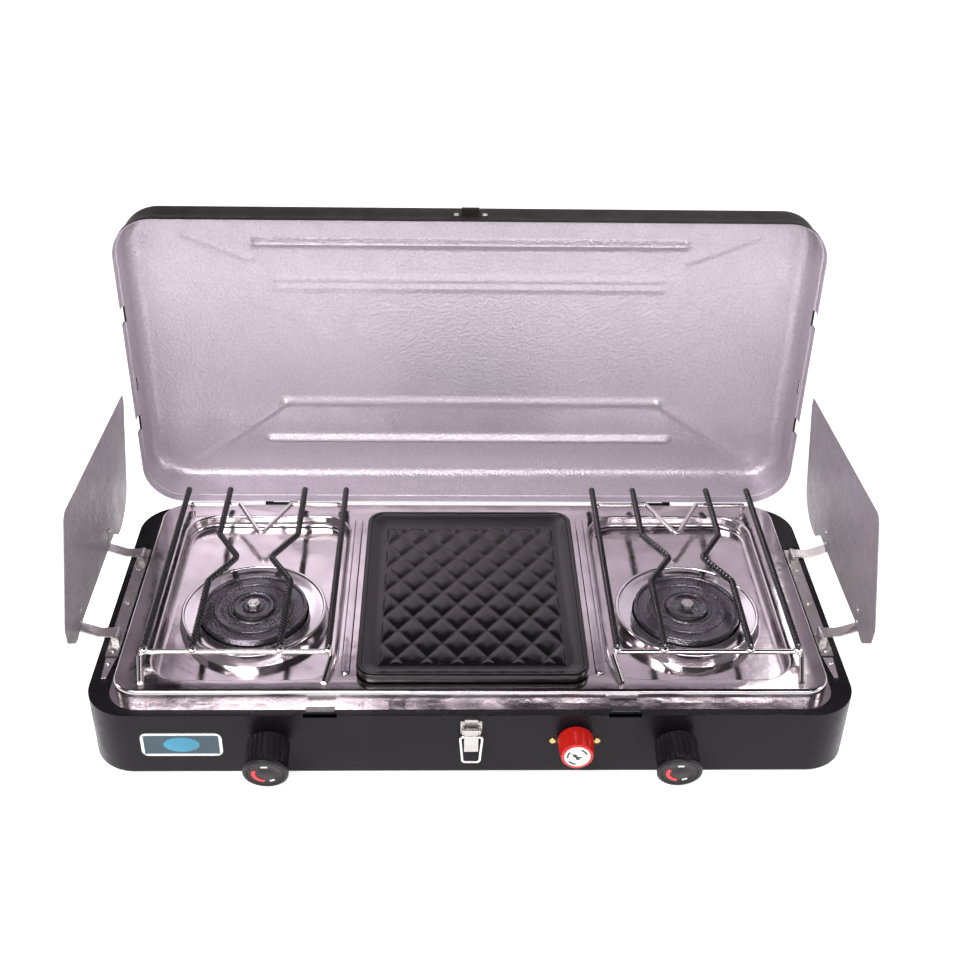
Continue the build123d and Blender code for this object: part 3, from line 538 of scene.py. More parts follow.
def shell(place, outlines, cells, first_relief=None, last_relief=None):
    """A closed skin from a filled outline, along walls, to another filled outline.

    An outline is half_x, half_y, radius, height and a centre. A relief adds
    f(x, y) to the height of the filled one at that end. It gives the points,
    the faces and, for each block of faces, the outline it comes from.
    """
    points = []
    faces = []
    bands = []
    previous = None
    count = 0
    last = len(outlines) - 1
    for number, (half_x, half_y, radius, height, centre) in enumerate(outlines):
        x, y = outline_grid(half_x, half_y, radius, cells, centre)
        relief = {0: first_relief, last: last_relief}.get(number)
        z = height + (relief(x, y) if relief else 0 * x)
        if number in (0, last):
            index = count + np.arange(x.size).reshape(x.shape)
            points.append(placed(place, x.ravel(), y.ravel(), z.ravel()))
            faces.append(grid_quads(index))
            bands.append(number)
            loop = once_round(index)
            count += x.size
        else:
            loop_points = placed(place, once_round(x), once_round(y), once_round(z))
            points.append(loop_points)
            loop = count + np.arange(len(loop_points))
            count += len(loop_points)
        if previous is not None:
            faces.append(
                np.stack([previous, np.roll(previous, -1), np.roll(loop, -1), loop], axis=-1)
            )
            bands.append(number)
        previous = loop
    return np.concatenate(points), faces, bands


def fill_mesh(mesh, points, faces, face_finish=None):
    """Puts points in millimetres and blocks of faces into a mesh."""
    corners = np.concatenate([np.ravel(block) for block in faces])
    lengths = np.concatenate([np.full(len(block), block.shape[1]) for block in faces])
    starts = np.concatenate([[0], np.cumsum(lengths)[:-1]])
    mesh.vertices.add(len(points))
    mesh.vertices.foreach_set("co", (points * MM).ravel().astype(np.float32))
    mesh.loops.add(len(corners))
    mesh.loops.foreach_set("vertex_index", corners.astype(np.int32))
    mesh.polygons.add(len(lengths))
    mesh.polygons.foreach_set("loop_start", starts.astype(np.int32))
    if face_finish is not None:
        blocks = [np.full(len(block), value) for block, value in zip(faces, face_finish)]
        mesh.polygons.foreach_set("material_index", np.concatenate(blocks).astype(np.int32))
    mesh.update(calc_edges=True)


def soften(mesh, sharp):
    """Smooth shading, except across edges sharper than an angle in degrees."""
    mesh.polygons.foreach_set("use_smooth", np.ones(len(mesh.polygons), bool))
    mesh.set_sharp_from_angle(angle=math.radians(sharp))


def mend(mesh):
    """Merges points in the same place and turns the faces outwards."""
    work = bmesh.new()
    work.from_mesh(mesh)
    bmesh.ops.remove_doubles(work, verts=work.verts, dist=2e-7)
    bmesh.ops.dissolve_degenerate(work, edges=work.edges, dist=1e-7)
    bmesh.ops.recalc_face_normals(work, faces=work.faces)
    work.to_mesh(mesh)
    work.free()


def add_piece(name, mesh, finishes, body, replaced=()):
    """A finished mesh as a piece that rides on a body and may stand for CAD nodes."""
    piece = bpy.data.objects.new(name, mesh)
    show(piece)
    for label in finishes:
        mesh.materials.append(finish(label))
    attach(piece, body)
    if replaced:
        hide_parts(*replaced)
    return piece


def closed_mesh(name, points, faces, face_finish=None):
    """A mended mesh from points and faces."""
    mesh = bpy.data.meshes.new(name)
    fill_mesh(mesh, points, faces, face_finish)
    mend(mesh)
    return mesh


def new_piece(name, points, faces, finishes, body, replaced=(), face_finish=None, sharp=38):
    """A closed piece from points and faces."""
    mesh = closed_mesh(name, points, faces, face_finish)
    soften(mesh, sharp)
    return add_piece(name, mesh, finishes, body, replaced)


def refined(node, bevel=0.0, sharp=35, label=None):
    """A piece with a CAD node's own shape, smooth where round and eased at its edges."""
    mesh = frame["nodes"][node].data.copy()
    mesh.name = f"{node}_fine"
    mesh.materials.clear()
    for layer in ("custom_normal", "sharp_face", "sharp_edge"):
        attribute = mesh.attributes.get(layer)
        if attribute:
            mesh.attributes.remove(attribute)
    work = bmesh.new()
    work.from_mesh(mesh)
    bmesh.ops.remove_doubles(work, verts=work.verts, dist=2e-7)
    bmesh.ops.dissolve_limit(
        work, angle_limit=math.radians(0.3), verts=work.verts, edges=work.edges
    )
    work.to_mesh(mesh)
    work.free()
    soften(mesh, sharp)
    piece = add_piece(f"{node}_fine", mesh, [label or SLOT_OF[node]], BODY_OF[node], [node])
    if bevel:
        ease = piece.modifiers.new("eased edges", "BEVEL")
        ease.width = bevel * MM
        ease.segments = 2
        ease.limit_method = "ANGLE"
        ease.angle_limit = math.radians(50)
        ease.harden_normals = True
    return piece


def paint_nodes(*nodes):
    """Gives CAD nodes that keep their own mesh the finish of their slot."""
    for node in nodes:
        node_object = frame["nodes"][node]
        node_object.data.materials.clear()
        node_object.data.materials.append(finish(SLOT_OF[node]))


# ------------------------------------------------------------ the operators


class StovePiece:
    """What the stove's operators share: they work in any mode and can be undone."""

    bl_options = {"REGISTER", "UNDO"}


class MakeCase(StovePiece, bpy.types.Operator):
    """The case, the stainless cooktop and the clips that hold it"""

    bl_idname = "stove.make_case"
    bl_label = "Case and cooktop"

    def execute(self, context):
        refined("case_shell", bevel=0.9)
        refined("cooktop_panel")
        refined("cooktop_clips", bevel=0.25)
        return {"FINISHED"}


def burner_ripple(turn, radius, height):
    """Small radial teeth between the rings: h + 0.3 cos(54 t) over those bands."""
    band = (np.abs(radius - 27.5) < 2.6) | (np.abs(radius - 41.0) < 2.6)
    return radius, height + np.where(band, 0.3 * np.cos(54 * turn), 0.0)


class MakeBurners(StovePiece, bpy.types.Operator):
    """Both burners: polished bowls, slotted heads, caps, nuts and spark rods"""

    bl_idname = "stove.make_burners"
    bl_label = "Burners"

    def execute(self, context):
        for word, side in SIDES.items():
            low, high = box_mm(f"bowl_{word}")
            outer = (high[0] - low[0]) / 2
            bowl_place = upright(side * BURNER_X, BURNER_Y, low[2])
            arc = np.radians(np.linspace(0, 180, 9))
            lip = np.stack([outer - 3.4 + 1.7 * np.cos(arc), 10.3 + 1.7 * np.sin(arc)], axis=-1)
            profile = [(outer, 0.0), (outer - 0.4, 3.0), (outer - 1.4, 8.0)]
            profile += [tuple(point) for point in lip]
            profile += [(outer - 6.4, 10.0), (outer - 9.4, 9.2), (outer - 13.6, 7.9), (49.0, 7.4)]
            profile += [(49.0, 6.4), (outer - 13.5, 6.9), (outer - 9.0, 8.2), (outer - 6.0, 9.0)]
            profile += [(outer - 4.2, 9.2), (outer - 2.6, 7.0), (outer - 1.3, 2.6)]
            profile += [(outer - 0.9, 0)]
            points, faces = skin(turned(bowl_place, profile, 128), closed_rows=True)
            new_piece(
                f"bowl_ring_{word}", points, faces, ["polished_steel"], "case", [f"bowl_{word}"]
            )
            self.make_head(word, side)
            refined(f"burner_pot_{word}")
        refined("burner_nuts", bevel=0.5)
        refined("electrodes")
        return {"FINISHED"}

    def make_head(self, word, side):
        """The slotted disc and the cap of one burner."""
        low, high = box_mm(f"burner_rings_{word}")
        place = upright(side * BURNER_X, BURNER_Y, low[2])
        outer = (high[0] - low[0]) / 2
        bed = 2.2

        def ring(radius, rise):
            """One raised ring, from its outer foot to its inner side."""
            outward = [(radius + 3.0, bed), (radius + 1.6, bed + 0.3), (radius + 0.9, rise - 0.3)]
            inward = [(radius, rise), (radius - 0.9, rise - 0.3), (radius - 1.6, bed + 0.3)]
            return outward + inward

        profile = [(BORE_R, 0.0), (outer - 0.4, 0.0), (outer, 0.4), (outer, 3.4)]
        profile += [(outer - 0.5, 3.9), (outer - 2.4, 3.9), (outer - 3.0, 3.4), (outer - 3.4, bed)]
        profile += ring(34.0, 4.0) + [(31.0, bed), (29.0, bed), (27.0, bed)]
        profile += ring(21.5, 3.8) + [(18.9, bed), (18.9, 1.9), (BORE_R, 1.9)]
        points, faces = skin(turned(place, profile, 216, burner_ripple), closed_rows=True)
        new_piece(
            f"burner_head_{word}", points, faces, ["burner_iron"], "case", [f"burner_rings_{word}"]
        )
        low, high = box_mm(f"burner_cap_{word}")
        cap_place = upright(side * BURNER_X, BURNER_Y, low[2])
        edge = (high[0] - low[0]) / 2
        top = high[2] - low[2]
        profile = [(BORE_R, 0.0), (edge, 0.0), (edge, top - 1.4), (edge - 0.5, top - 0.4)]
        profile += [(edge - 1.6, top), (edge - 3.0, top), (edge - 4.4, top - 0.9)]
        profile += [(10.6, top - 1.2), (9.4, top - 0.7), (8.4, top - 0.3), (BORE_R, top - 0.3)]
        points, faces = skin(turned(cap_place, profile, 96), closed_rows=True)
        new_piece(
            f"burner_cover_{word}", points, faces, ["burner_cap"], "case", [f"burner_cap_{word}"]
        )


class MakeGriddle(StovePiece, bpy.types.Operator):
    """The griddle: a floor of pillowed diamonds, a sloped border and a round lip"""

    bl_idname = "stove.make_griddle"
    bl_label = "Griddle"

    def execute(self, context):
        low, high = box_mm("griddle")
        half_x = (high[0] - low[0]) / 2
        half_y = (high[1] - low[1]) / 2
        centre = (0.0, (high[1] + low[1]) / 2)
        floor_centre = (0.0, -10.5)
        rise = high[2] - low[2]
        foot = 1.0
        floor_x, floor_y = 84.0, 103.5
        lip_width = 5.2
        pitch = sizes().bump_width / MM
        bump = sizes().bump_height / MM
        row = pitch * 0.685

        def diamonds(x, y):
            """Pillows between two sets of slanting grooves, fading at the border.

            With a and b the distances along the two slants, the height is
            bump (1 - |2 frac a - 1|^3.4) (1 - |2 frac b - 1|^3.4).
            """
            a = x / pitch + (y - floor_centre[1]) / (2 * row)
            b = x / pitch - (y - floor_centre[1]) / (2 * row)
            rounded = [1 - np.abs(2 * (part - np.floor(part)) - 1) ** 3.4 for part in (a, b)]
            inset_x = floor_x - 4.0 - np.abs(x)
            inset = np.minimum(inset_x, floor_y - 4.0 - np.abs(y - floor_centre[1]))
            return bump * rounded[0] * rounded[1] * np.clip(inset / 3.0, 0, 1)

        outlines = [(floor_x, floor_y, 8.0, foot + 3.0, floor_centre)]
        slope = np.linspace(0, 1, 7)[1:]
        for share in slope:
            grown = (half_x - lip_width - floor_x) * share
            middle = floor_centre[1] + (centre[1] - floor_centre[1]) * share
            deep = floor_y + (half_y - lip_width - floor_y) * share
            lift = foot + 3.0 + (rise - foot - 4.4) * share**1.5
            outlines.append((floor_x + grown, deep, 8.0 + 4.0 * share, lift, (0.0, middle)))
        turn = np.radians(np.linspace(0, 180, 9))
        for angle in turn:
            out = 2.6 - 2.2 * math.cos(angle)
            lip = rise - 1.5 + 1.5 * math.sin(angle)
            across, along = half_x - lip_width + out, half_y - lip_width + out
            outlines.append((across, along, 11.2 + out, lip, centre))
        outlines.append((half_x - 0.2, half_y - 0.2, 15.8, foot + 1.5, centre))
        outlines.append((half_x - 0.9, half_y - 0.9, 15.1, foot + 0.2, centre))
        outlines.append((half_x - 2.0, half_y - 2.0, 14.0, foot, centre))
        place = upright(0, 0, low[2])
        points, faces, _ = shell(place, outlines, (118, 150), first_relief=diamonds)
        feet = []
        for way_x in (-1, 1):
            for way_y in (-1, 1):
                spot = (way_x * (half_x - 20), centre[1] + way_y * (half_y - 20), low[2])
                profile = [(0.0, 0.0), (4.2, 0.0), (5.0, 0.4), (5.0, 1.4), (0.0, 1.4)]
                feet.append(skin(turned(upright(*spot), profile, 32)))
        points, faces = joined([(points, faces)] + feet)
        new_piece("griddle_plate", points, faces, ["griddle_coat"], "griddle", ["griddle"])
        return {"FINISHED"}


class MakeGrates(StovePiece, bpy.types.Operator):
    """Both pan supports: bright wire frames, twisted bars and their weld beads"""

    bl_idname = "stove.make_grates"
    bl_label = "Pan supports"

    def execute(self, context):
        for word, side in SIDES.items():
            low, high = box_mm(f"grate_bars_{word}")
            centre_x = side * GRATE_X
            height = (low[2] + high[2]) / 2
            front = low[1] + 0.4
            rear = high[1] - 0.4
            bars = []
            beads = []
            for offset, toe in ((-78, -78), (-37, -15.5), (37, 15.5), (78, 78)):
                side_x = centre_x + offset
                knees = [(side_x, -6.0), (centre_x + toe, 30.0), (side_x, 66.0)]
                ends = [(side_x, front), (side_x, rear)]
                plan = [ends[0], *(knees if toe != offset else []), ends[1]]
                bars.append(self.twisted([(x, y, height) for x, y in plan]))
                spot = (side_x, low[1] + 1.2, low[2] + 1.4)
                beads.append(self.bead(spot))
            points, faces = joined(bars)
            new_piece(
                f"twisted_bars_{word}",
                points,
                faces,
                ["black_bar"],
                f"grate_{word}",
                [f"grate_bars_{word}"],
                sharp=60,
            )
            points, faces = joined(beads)
            weld = new_piece(
                f"weld_beads_{word}", points, faces, ["bright_nickel"], f"grate_{word}"
            )
            refined(f"grate_frame_{word}")
        return {"FINISHED"}

    def twisted(self, plan):
        """A square bar with eased corners that turns evenly as it goes along.

        The section is r(f) = side / (|cos f|^12 + |sin f|^12)^(1/12), turned by
        2 pi s / pitch at the distance s along the line.
        """
        line, marks = bent_line(plan, 6.0, 0.8)
        half = sizes().bar_half_side / MM
        along = np.gradient(line, axis=0)
        along /= np.linalg.norm(along, axis=1, keepdims=True)
        up = np.array([0.0, 0.0, 1.0])
        across = np.cross(along, up)
        around = np.linspace(0, FULL_TURN, 24, endpoint=False)[None, :]
        radius = half / (np.abs(np.cos(around)) ** 12 + np.abs(np.sin(around)) ** 12) ** (1 / 12)
        turn = around + FULL_TURN * marks[:, None] * MM / sizes().twist_pitch
        ends = np.minimum(marks, marks[-1] - marks)[:, None]
        radius = radius * np.clip(0.62 + 0.2 * ends, 0, 1)
        rings = (
            line[:, None, :]
            + (radius * np.cos(turn))[..., None] * across[:, None, :]
            + (radius * np.sin(turn))[..., None] * up
        )
        return skin(rings, caps=True)

    def bead(self, spot):
        """A flattened round bead, 3.7 wide and 2.6 high from its middle."""
        angle = np.linspace(-math.pi / 2, math.pi / 2, 11)
        profile = np.stack([3.7 * np.cos(angle), 2.6 * np.sin(angle)], axis=-1)
        profile[[0, -1], 0] = 0.0

        def lumpy(turn, radius, height):
            """r (1 + 0.08 cos 3t)"""
            return radius * (1 + 0.08 * np.cos(3 * turn + 0.6)), height

        return skin(turned(upright(*spot), profile, 24, lumpy))


def ridge(x, y, start, end, half_width, height):
    """A pressed rib along a line: height (1 - (d / half_width)^2)^2 at distance d."""
    run = np.array(end, float) - np.array(start, float)
    share = ((x - start[0]) * run[0] + (y - start[1]) * run[1]) / (run @ run)
    share = np.clip(share, 0, 1)
    away = np.hypot(x - start[0] - share * run[0], y - start[1] - share * run[1])
    return height * np.clip(1 - (away / half_width) ** 2, 0, None) ** 2


class MakeLid(StovePiece, bpy.types.Operator):
    """The deep lid with its pressed ribs, its strike and its hinges"""

    bl_idname = "stove.make_lid"
    bl_label = "Lid"

    def execute(self, context):
        rib = sizes().rib_height / MM
        middle = (LID_LOW[2] + LID_HIGH[2]) / 2
        half_x = LID_HIGH[0]
        half_z = (LID_HIGH[2] - LID_LOW[2]) / 2
        depth = LID_HIGH[1] - LID_LOW[1]
        wall_run = 15.0
        plate_x = half_x - wall_run
        plate_z = half_z - wall_run

        def pressed(x, y):
            """All the ribs of the lid, which stand towards its inside."""
            up = y + middle
            ribs = [
                ((-203, 333), (203, 333), 5.6, rib),
                ((-184, 296), (184, 296), 5.0, 0.3 * rib),
                ((-184, 287), (184, 287), 5.0, 0.3 * rib),
                ((-204, 118), (204, 118), 5.4, rib),
                ((-279, 89), (-185, 161), 6.0, 0.5 * rib),
                ((-185, 161), (191, 161), 6.0, 0.5 * rib),
                ((191, 161), (290, 91), 6.0, 0.5 * rib),
                ((-270, 342), (-208, 317), 6.0, 0.3 * rib),
                ((270, 342), (208, 317), 6.0, 0.3 * rib),
            ]
            return -sum(ridge(x, up, *line) for line in ribs)

        def row(grown, deep):
            """An outline outside the lid's flat plate by some distance, at a depth."""
            return (plate_x + grown, plate_z + grown, 24.0 + grown, deep, (0.0, 0.0))

        crown = np.radians(np.linspace(0, 90, 9))
        outside = [row(13 * math.sin(a), depth - 13 + 13 * math.cos(a)) for a in crown]
        outside += [row(13.0, deep) for deep in (26.0, 18.0, 10.6)]
        outside += [row(13.2, 9.8), row(13.9, 9.2), row(14.7, 8.8), row(15.0, 8.0)]
        outside += [row(15.0, 4.0), row(15.0, 0.9), row(14.8, 0.3)]
        inside = [row(14.5, 0.0), row(14.15, 0.3), row(14.0, 0.9), row(14.0, 7.4)]
        inside += [row(13.6, 8.1), row(12.6, 8.4), row(12.1, 8.9), row(12.0, 10.0)]
        inside += [row(12.0, deep) for deep in (18.0, 26.0)]
        inside += [row(12 * math.sin(a), depth - 13 + 12 * math.cos(a)) for a in crown[::-1]]
        place = (
            np.array([0.0, LID_LOW[1], middle]),
            np.array([[1.0, 0, 0], [0, 0, 1.0], [0, 1.0, 0]]),
        )
        outlines = outside + inside
        points, faces, bands = shell(place, outlines, (212, 86), pressed, pressed)
        face_finish = [int(band >= len(outside)) for band in bands]
        mesh = closed_mesh("lid_pressing", points, faces, face_finish)
        piece = add_piece("lid_pressing", mesh, ["lid_outside", "lid_paint"], "lid", ["lid_shell"])
        self.cut_openings(piece, middle)
        soften(piece.data, 40)
        refined("lid_catch", bevel=0.3, label="lid_outside")
        refined("lid_catch_rivets")
        refined("hinge_leaves_case", bevel=0.25)
        refined("hinge_leaves_lid", bevel=0.25)
        refined("hinge_rivets")
        paint_nodes("hinge_pins")
        return {"FINISHED"}

    def cut_openings(self, piece, hinge_z):
        """Cuts the notches for the windscreen arms and the two slots out of the lid's sides."""
        boxes = []
        rim = LID_LOW[1]
        for side in SIDES.values():
            x = side * LID_HIGH[0]
            for arm_y in SCREEN_ARM_YS:
                z = hinge_z - arm_y
                boxes.append(((x - side * 8, rim - 1, z - 8), (x + side * 2, rim + 9.1, z + 8)))
            z = hinge_z - SLOT_Y
            boxes.append(((x - side * 6, rim + 12, z - 7), (x + side * 2, rim + 16, z + 7)))
        parts = []
        for near, far in boxes:
            low = np.minimum(near, far)
            high = np.maximum(near, far)
            ring_x = np.array([low[0], high[0], high[0], low[0]])
            ring_z = np.array([low[2], low[2], high[2], high[2]])
            rings = [
                np.stack([ring_x, np.full_like(ring_x, y), ring_z], axis=-1)
                for y in (low[1], high[1])
            ]
            parts.append(skin(np.stack(rings), caps=True))
        cutter_mesh = closed_mesh("opening_cutter", *joined(parts))
        cutter = bpy.data.objects.new("opening_cutter", cutter_mesh)
        show(cutter)
        cut = piece.modifiers.new("openings", "BOOLEAN")
        cut.operation = "DIFFERENCE"
        cut.solver = "EXACT"
        cut.object = cutter
        bpy.context.view_layer.update()
        shaped = bpy.data.meshes.new_from_object(
            piece.evaluated_get(bpy.context.evaluated_depsgraph_get())
        )
        piece.modifiers.clear()
        piece.data = shaped
        bpy.data.objects.remove(cutter)


class MakeWindscreens(StovePiece, bpy.types.Operator):
    """Both windscreens with their arms, rivets, brackets and stops"""

    bl_idname = "stove.make_windscreens"
    bl_label = "Windscreens"

    def execute(self, context):
        for word in SIDES:
            refined(f"windscreen_plate_{word}", bevel=0.3)
            refined(f"windscreen_arms_{word}", bevel=0.25)
            refined(f"windscreen_rivets_{word}")
        refined("windscreen_brackets", bevel=0.25)
        refined("windscreen_screws")
        refined("windscreen_stops", bevel=0.25)
        refined("windscreen_pins")
        return {"FINISHED"}


def flat_mark(place, outline, low, high):
    """A thin raised mark: an outline of x and y between two heights."""
    outline = np.array(outline, float)
    rings = [placed(place, outline[:, 0], outline[:, 1], height) for height in (low, high)]
    return skin(np.stack(rings), caps=True)


def arc_mark(place, inner, outer, start, end, low, high):
    """A thin raised mark along an arc, between two radii and two angles in degrees."""
    angle = np.radians(np.linspace(start, end, 25))[:, None]
    radius = np.array([inner, outer, outer, inner])[None, :]
    height = np.array([low, low, high, high])[None, :]
    return skin(placed(place, radius * np.cos(angle), radius * np.sin(angle), height), caps=True)


def marked(parts, owners):
    """Joined parts, with the number of the finish of each block of faces."""
    face_finish = [own for own, (_, blocks) in zip(owners, parts) for _ in blocks]
    return *joined(parts), face_finish


class MakeKnobs(StovePiece, bpy.types.Operator):
    """Both gas knobs with their flutes, dials and stems"""

    bl_idname = "stove.make_knobs"
    bl_label = "Gas knobs"

    def execute(self, context):
        flutes = sizes().knob_flutes
        out = (0, -math.cos(KNOB_DROOP), -math.sin(KNOB_DROOP))

        def fluted(turn, radius, height):
            """r - 1.1 w (0.5 + 0.5 cos nt)^0.7, where w fades in and out along the grip."""
            grip = np.clip((height - 7.5) / 1.5, 0, 1) * np.clip((32.4 - height) / 1.2, 0, 1)
            wave = (0.5 + 0.5 * np.cos(flutes * turn)) ** 0.7
            return radius - 1.1 * wave * grip * (radius > 15.5), height

        for word, side in SIDES.items():
            place = axes((side * KNOB_X, FRONT_Y, KNOB_Z), (1, 0, 0), out)
            profile = [(3.1, 6.0), (16.4, 6.0), (17.4, 6.6), (17.8, 8.0), (17.9, 10.0)]
            profile += [(17.9, step) for step in (14.0, 20.0, 26.0, 31.0)]
            profile += [(18.0, 32.4), (18.7, 33.0), (19.0, 33.8), (19.0, 35.2), (18.6, 36.4)]
            profile += [(17.8, 37.0), (16.0, 37.0), (15.3, 36.7), (15.0, 35.8), (3.1, 35.8)]
            points, faces = skin(turned(place, profile, 208, fluted), closed_rows=True)
            new_piece(
                f"knob_grip_{word}",
                points,
                faces,
                ["knob_plastic"],
                f"knob_{word}",
                [f"knob_{word}"],
                sharp=50,
            )
            dial = [(0.0, 35.8), (15.0, 35.8), (15.0, 36.3), (14.6, 36.7), (13.2, 36.7)]
            dial += [(12.8, 36.5), (6.4, 36.5), (5.6, 36.8), (0.0, 36.8)]
            parts = [skin(turned(place, dial, 96))]
            parts.append(arc_mark(place, 8.3, 11.6, 150, 262, 36.2, 36.8))
            parts.append(arc_mark(place, 9.2, 11.2, 76, 106, 36.2, 36.75))
            parts.append(arc_mark(place, 9.2, 11.2, 286, 312, 36.2, 36.75))
            points, faces, face_finish = marked(parts, (0, 1, 2, 2))
            new_piece(
                f"dial_{word}",
                points,
                faces,
                ["dial_plastic", "dial_red", "dial_white"],
                f"knob_{word}",
                [f"knob_dial_{word}"],
                face_finish,
            )
            refined(f"valve_stem_{word}")
        return {"FINISHED"}


class MakeIgniter(StovePiece, bpy.types.Operator):
    """The red igniter knob, its label with a plain spark mark, and its eyelets"""

    bl_idname = "stove.make_igniter"
    bl_label = "Igniter"

    def execute(self, context):
        place = axes((IGNITER_X, FRONT_Y, IGNITER_Z), (1, 0, 0), (0, -1, 0))

        def scalloped(turn, radius, height):
            """r - 0.9 w |sin 9t|, where w fades in and out along the side."""
            grip = np.clip((height - 5.0) / 1.5, 0, 1) * np.clip((22.6 - height) / 1.5, 0, 1)
            return radius - 0.9 * grip * np.abs(np.sin(9 * turn)) * (radius > 12.5), height

        profile = [(3.1, 3.0), (14.2, 3.0), (15.0, 3.6), (15.2, 4.6), (15.2, 7.0)]
        profile += [(15.0, 10.0), (14.7, 14.0), (14.3, 18.0), (13.9, 21.0), (13.4, 22.8)]
        profile += [(12.8, 23.7), (12.0, 24.0), (11.4, 24.0), (11.1, 23.7), (11.0, 23.0)]
        profile += [(3.1, 23.0)]
        points, faces = skin(turned(place, profile, 216, scalloped), closed_rows=True)
        new_piece(
            "igniter_grip",
            points,
            faces,
            ["igniter_red"],
            "igniter_knob",
            ["igniter_knob"],
            sharp=50,
        )
        disc = [(0.0, 23.0), (11.0, 23.0), (11.0, 23.5), (10.7, 23.8), (0.0, 23.8)]
        parts = [skin(turned(place, disc, 64))]
        for start in (20, 140, 215):
            parts.append(arc_mark(place, 7.4, 8.9, start, start + 48, 23.5, 23.95))
        spark = [(-5.6, 3.4), (-0.6, 2.6), (-0.2, 0.6), (5.0, -0.6), (1.6, -1.8), (2.4, -3.6)]
        spark += [(-0.8, -3.0), (-1.6, -0.4), (-4.0, 0.2), (-3.2, 1.8)]
        parts.append(flat_mark(place, spark, 23.5, 23.95))
        points, faces, face_finish = marked(parts, (0, 1, 1, 1, 1))
        new_piece(
            "igniter_face",
            points,
            faces,
            ["label_white", "label_black"],
            "igniter_knob",
            ["igniter_label"],
            face_finish,
        )
        refined("igniter_shaft")
        refined("igniter_eyelets")
        return {"FINISHED"}


class MakeLatch(StovePiece, bpy.types.Operator):
    """The latch: its base, rivets, pin, lever and wire bail"""

    bl_idname = "stove.make_latch"
    bl_label = "Latch"

    def execute(self, context):
        refined("latch_base", bevel=0.25)
        refined("latch_lever", bevel=0.25)
        refined("latch_bail")
        refined("latch_rivets")
        refined("latch_pin")
        return {"FINISHED"}


class MakeBadge(StovePiece, bpy.types.Operator):
    """A plain badge with a raised metal border and a domed middle, and no marks"""

    bl_idname = "stove.make_badge"
    bl_label = "Badge"

    def execute(self, context):
        low, high = box_mm("badge_plate")
        half_x = (high[0] - low[0]) / 2
        half_z = (high[2] - low[2]) / 2
        thick = high[1] - low[1]
        middle = ((low[0] + high[0]) / 2, high[1], (low[2] + high[2]) / 2)
        place = axes(middle, (1, 0, 0), (0, -1, 0))

        def domed(x, y):
            """An oval dome in the middle of the field: 0.3 sqrt(1 - (x/15)^2 - (y/8)^2)."""
            return 0.3 * np.sqrt(np.clip(1 - (x / 15.0) ** 2 - (y / 8.0) ** 2, 0, None))

        rims = ((2.6, 0.45), (2.1, 0.8), (1.0, 0.8), (0.3, 0.6), (0.0, 0.4), (0.0, 0.0))
        outlines = [
            (half_x - inset, half_z - inset, 6.0 - inset, height * thick / 0.8, (0.0, 0.0))
            for inset, height in rims
        ]
        points, faces, _ = shell(place, outlines, (60, 24), first_relief=domed)
        mesh = closed_mesh("badge_pressing", points, faces)
        middles = np.zeros(len(mesh.polygons) * 3)
        mesh.polygons.foreach_get("center", middles)
        offset = middles.reshape(-1, 3) / MM - place[0]
        out = -offset[:, 1]
        field = (np.abs(offset[:, 0]) < half_x - 2.6) & (np.abs(offset[:, 2]) < half_z - 2.6)
        field &= out > 0.2
        lens = field & ((offset[:, 0] / 15.0) ** 2 + (offset[:, 2] / 8.0) ** 2 < 1)
        mesh.polygons.foreach_set("material_index", (field.astype(int) + lens).astype(np.int32))
        soften(mesh, 40)
        add_piece(
            "badge_pressing",
            mesh,
            ["badge_metal", "badge_field", "badge_lens"],
            "case",
            ["badge_plate"],
        )
        return {"FINISHED"}


class MakeGasParts(StovePiece, bpy.types.Operator):
    """The gas inlet and the pipe, valves, tubes and wires under the cooktop"""

    bl_idname = "stove.make_gas_parts"
    bl_label = "Gas parts"

    def execute(self, context):
        refined("gas_inlet", bevel=0.4)
        paint_nodes("manifold_pipe", "igniter_body", "igniter_wires")
        for word in SIDES:
            paint_nodes(f"valve_{word}", f"mixing_tube_{word}")
        return {"FINISHED"}


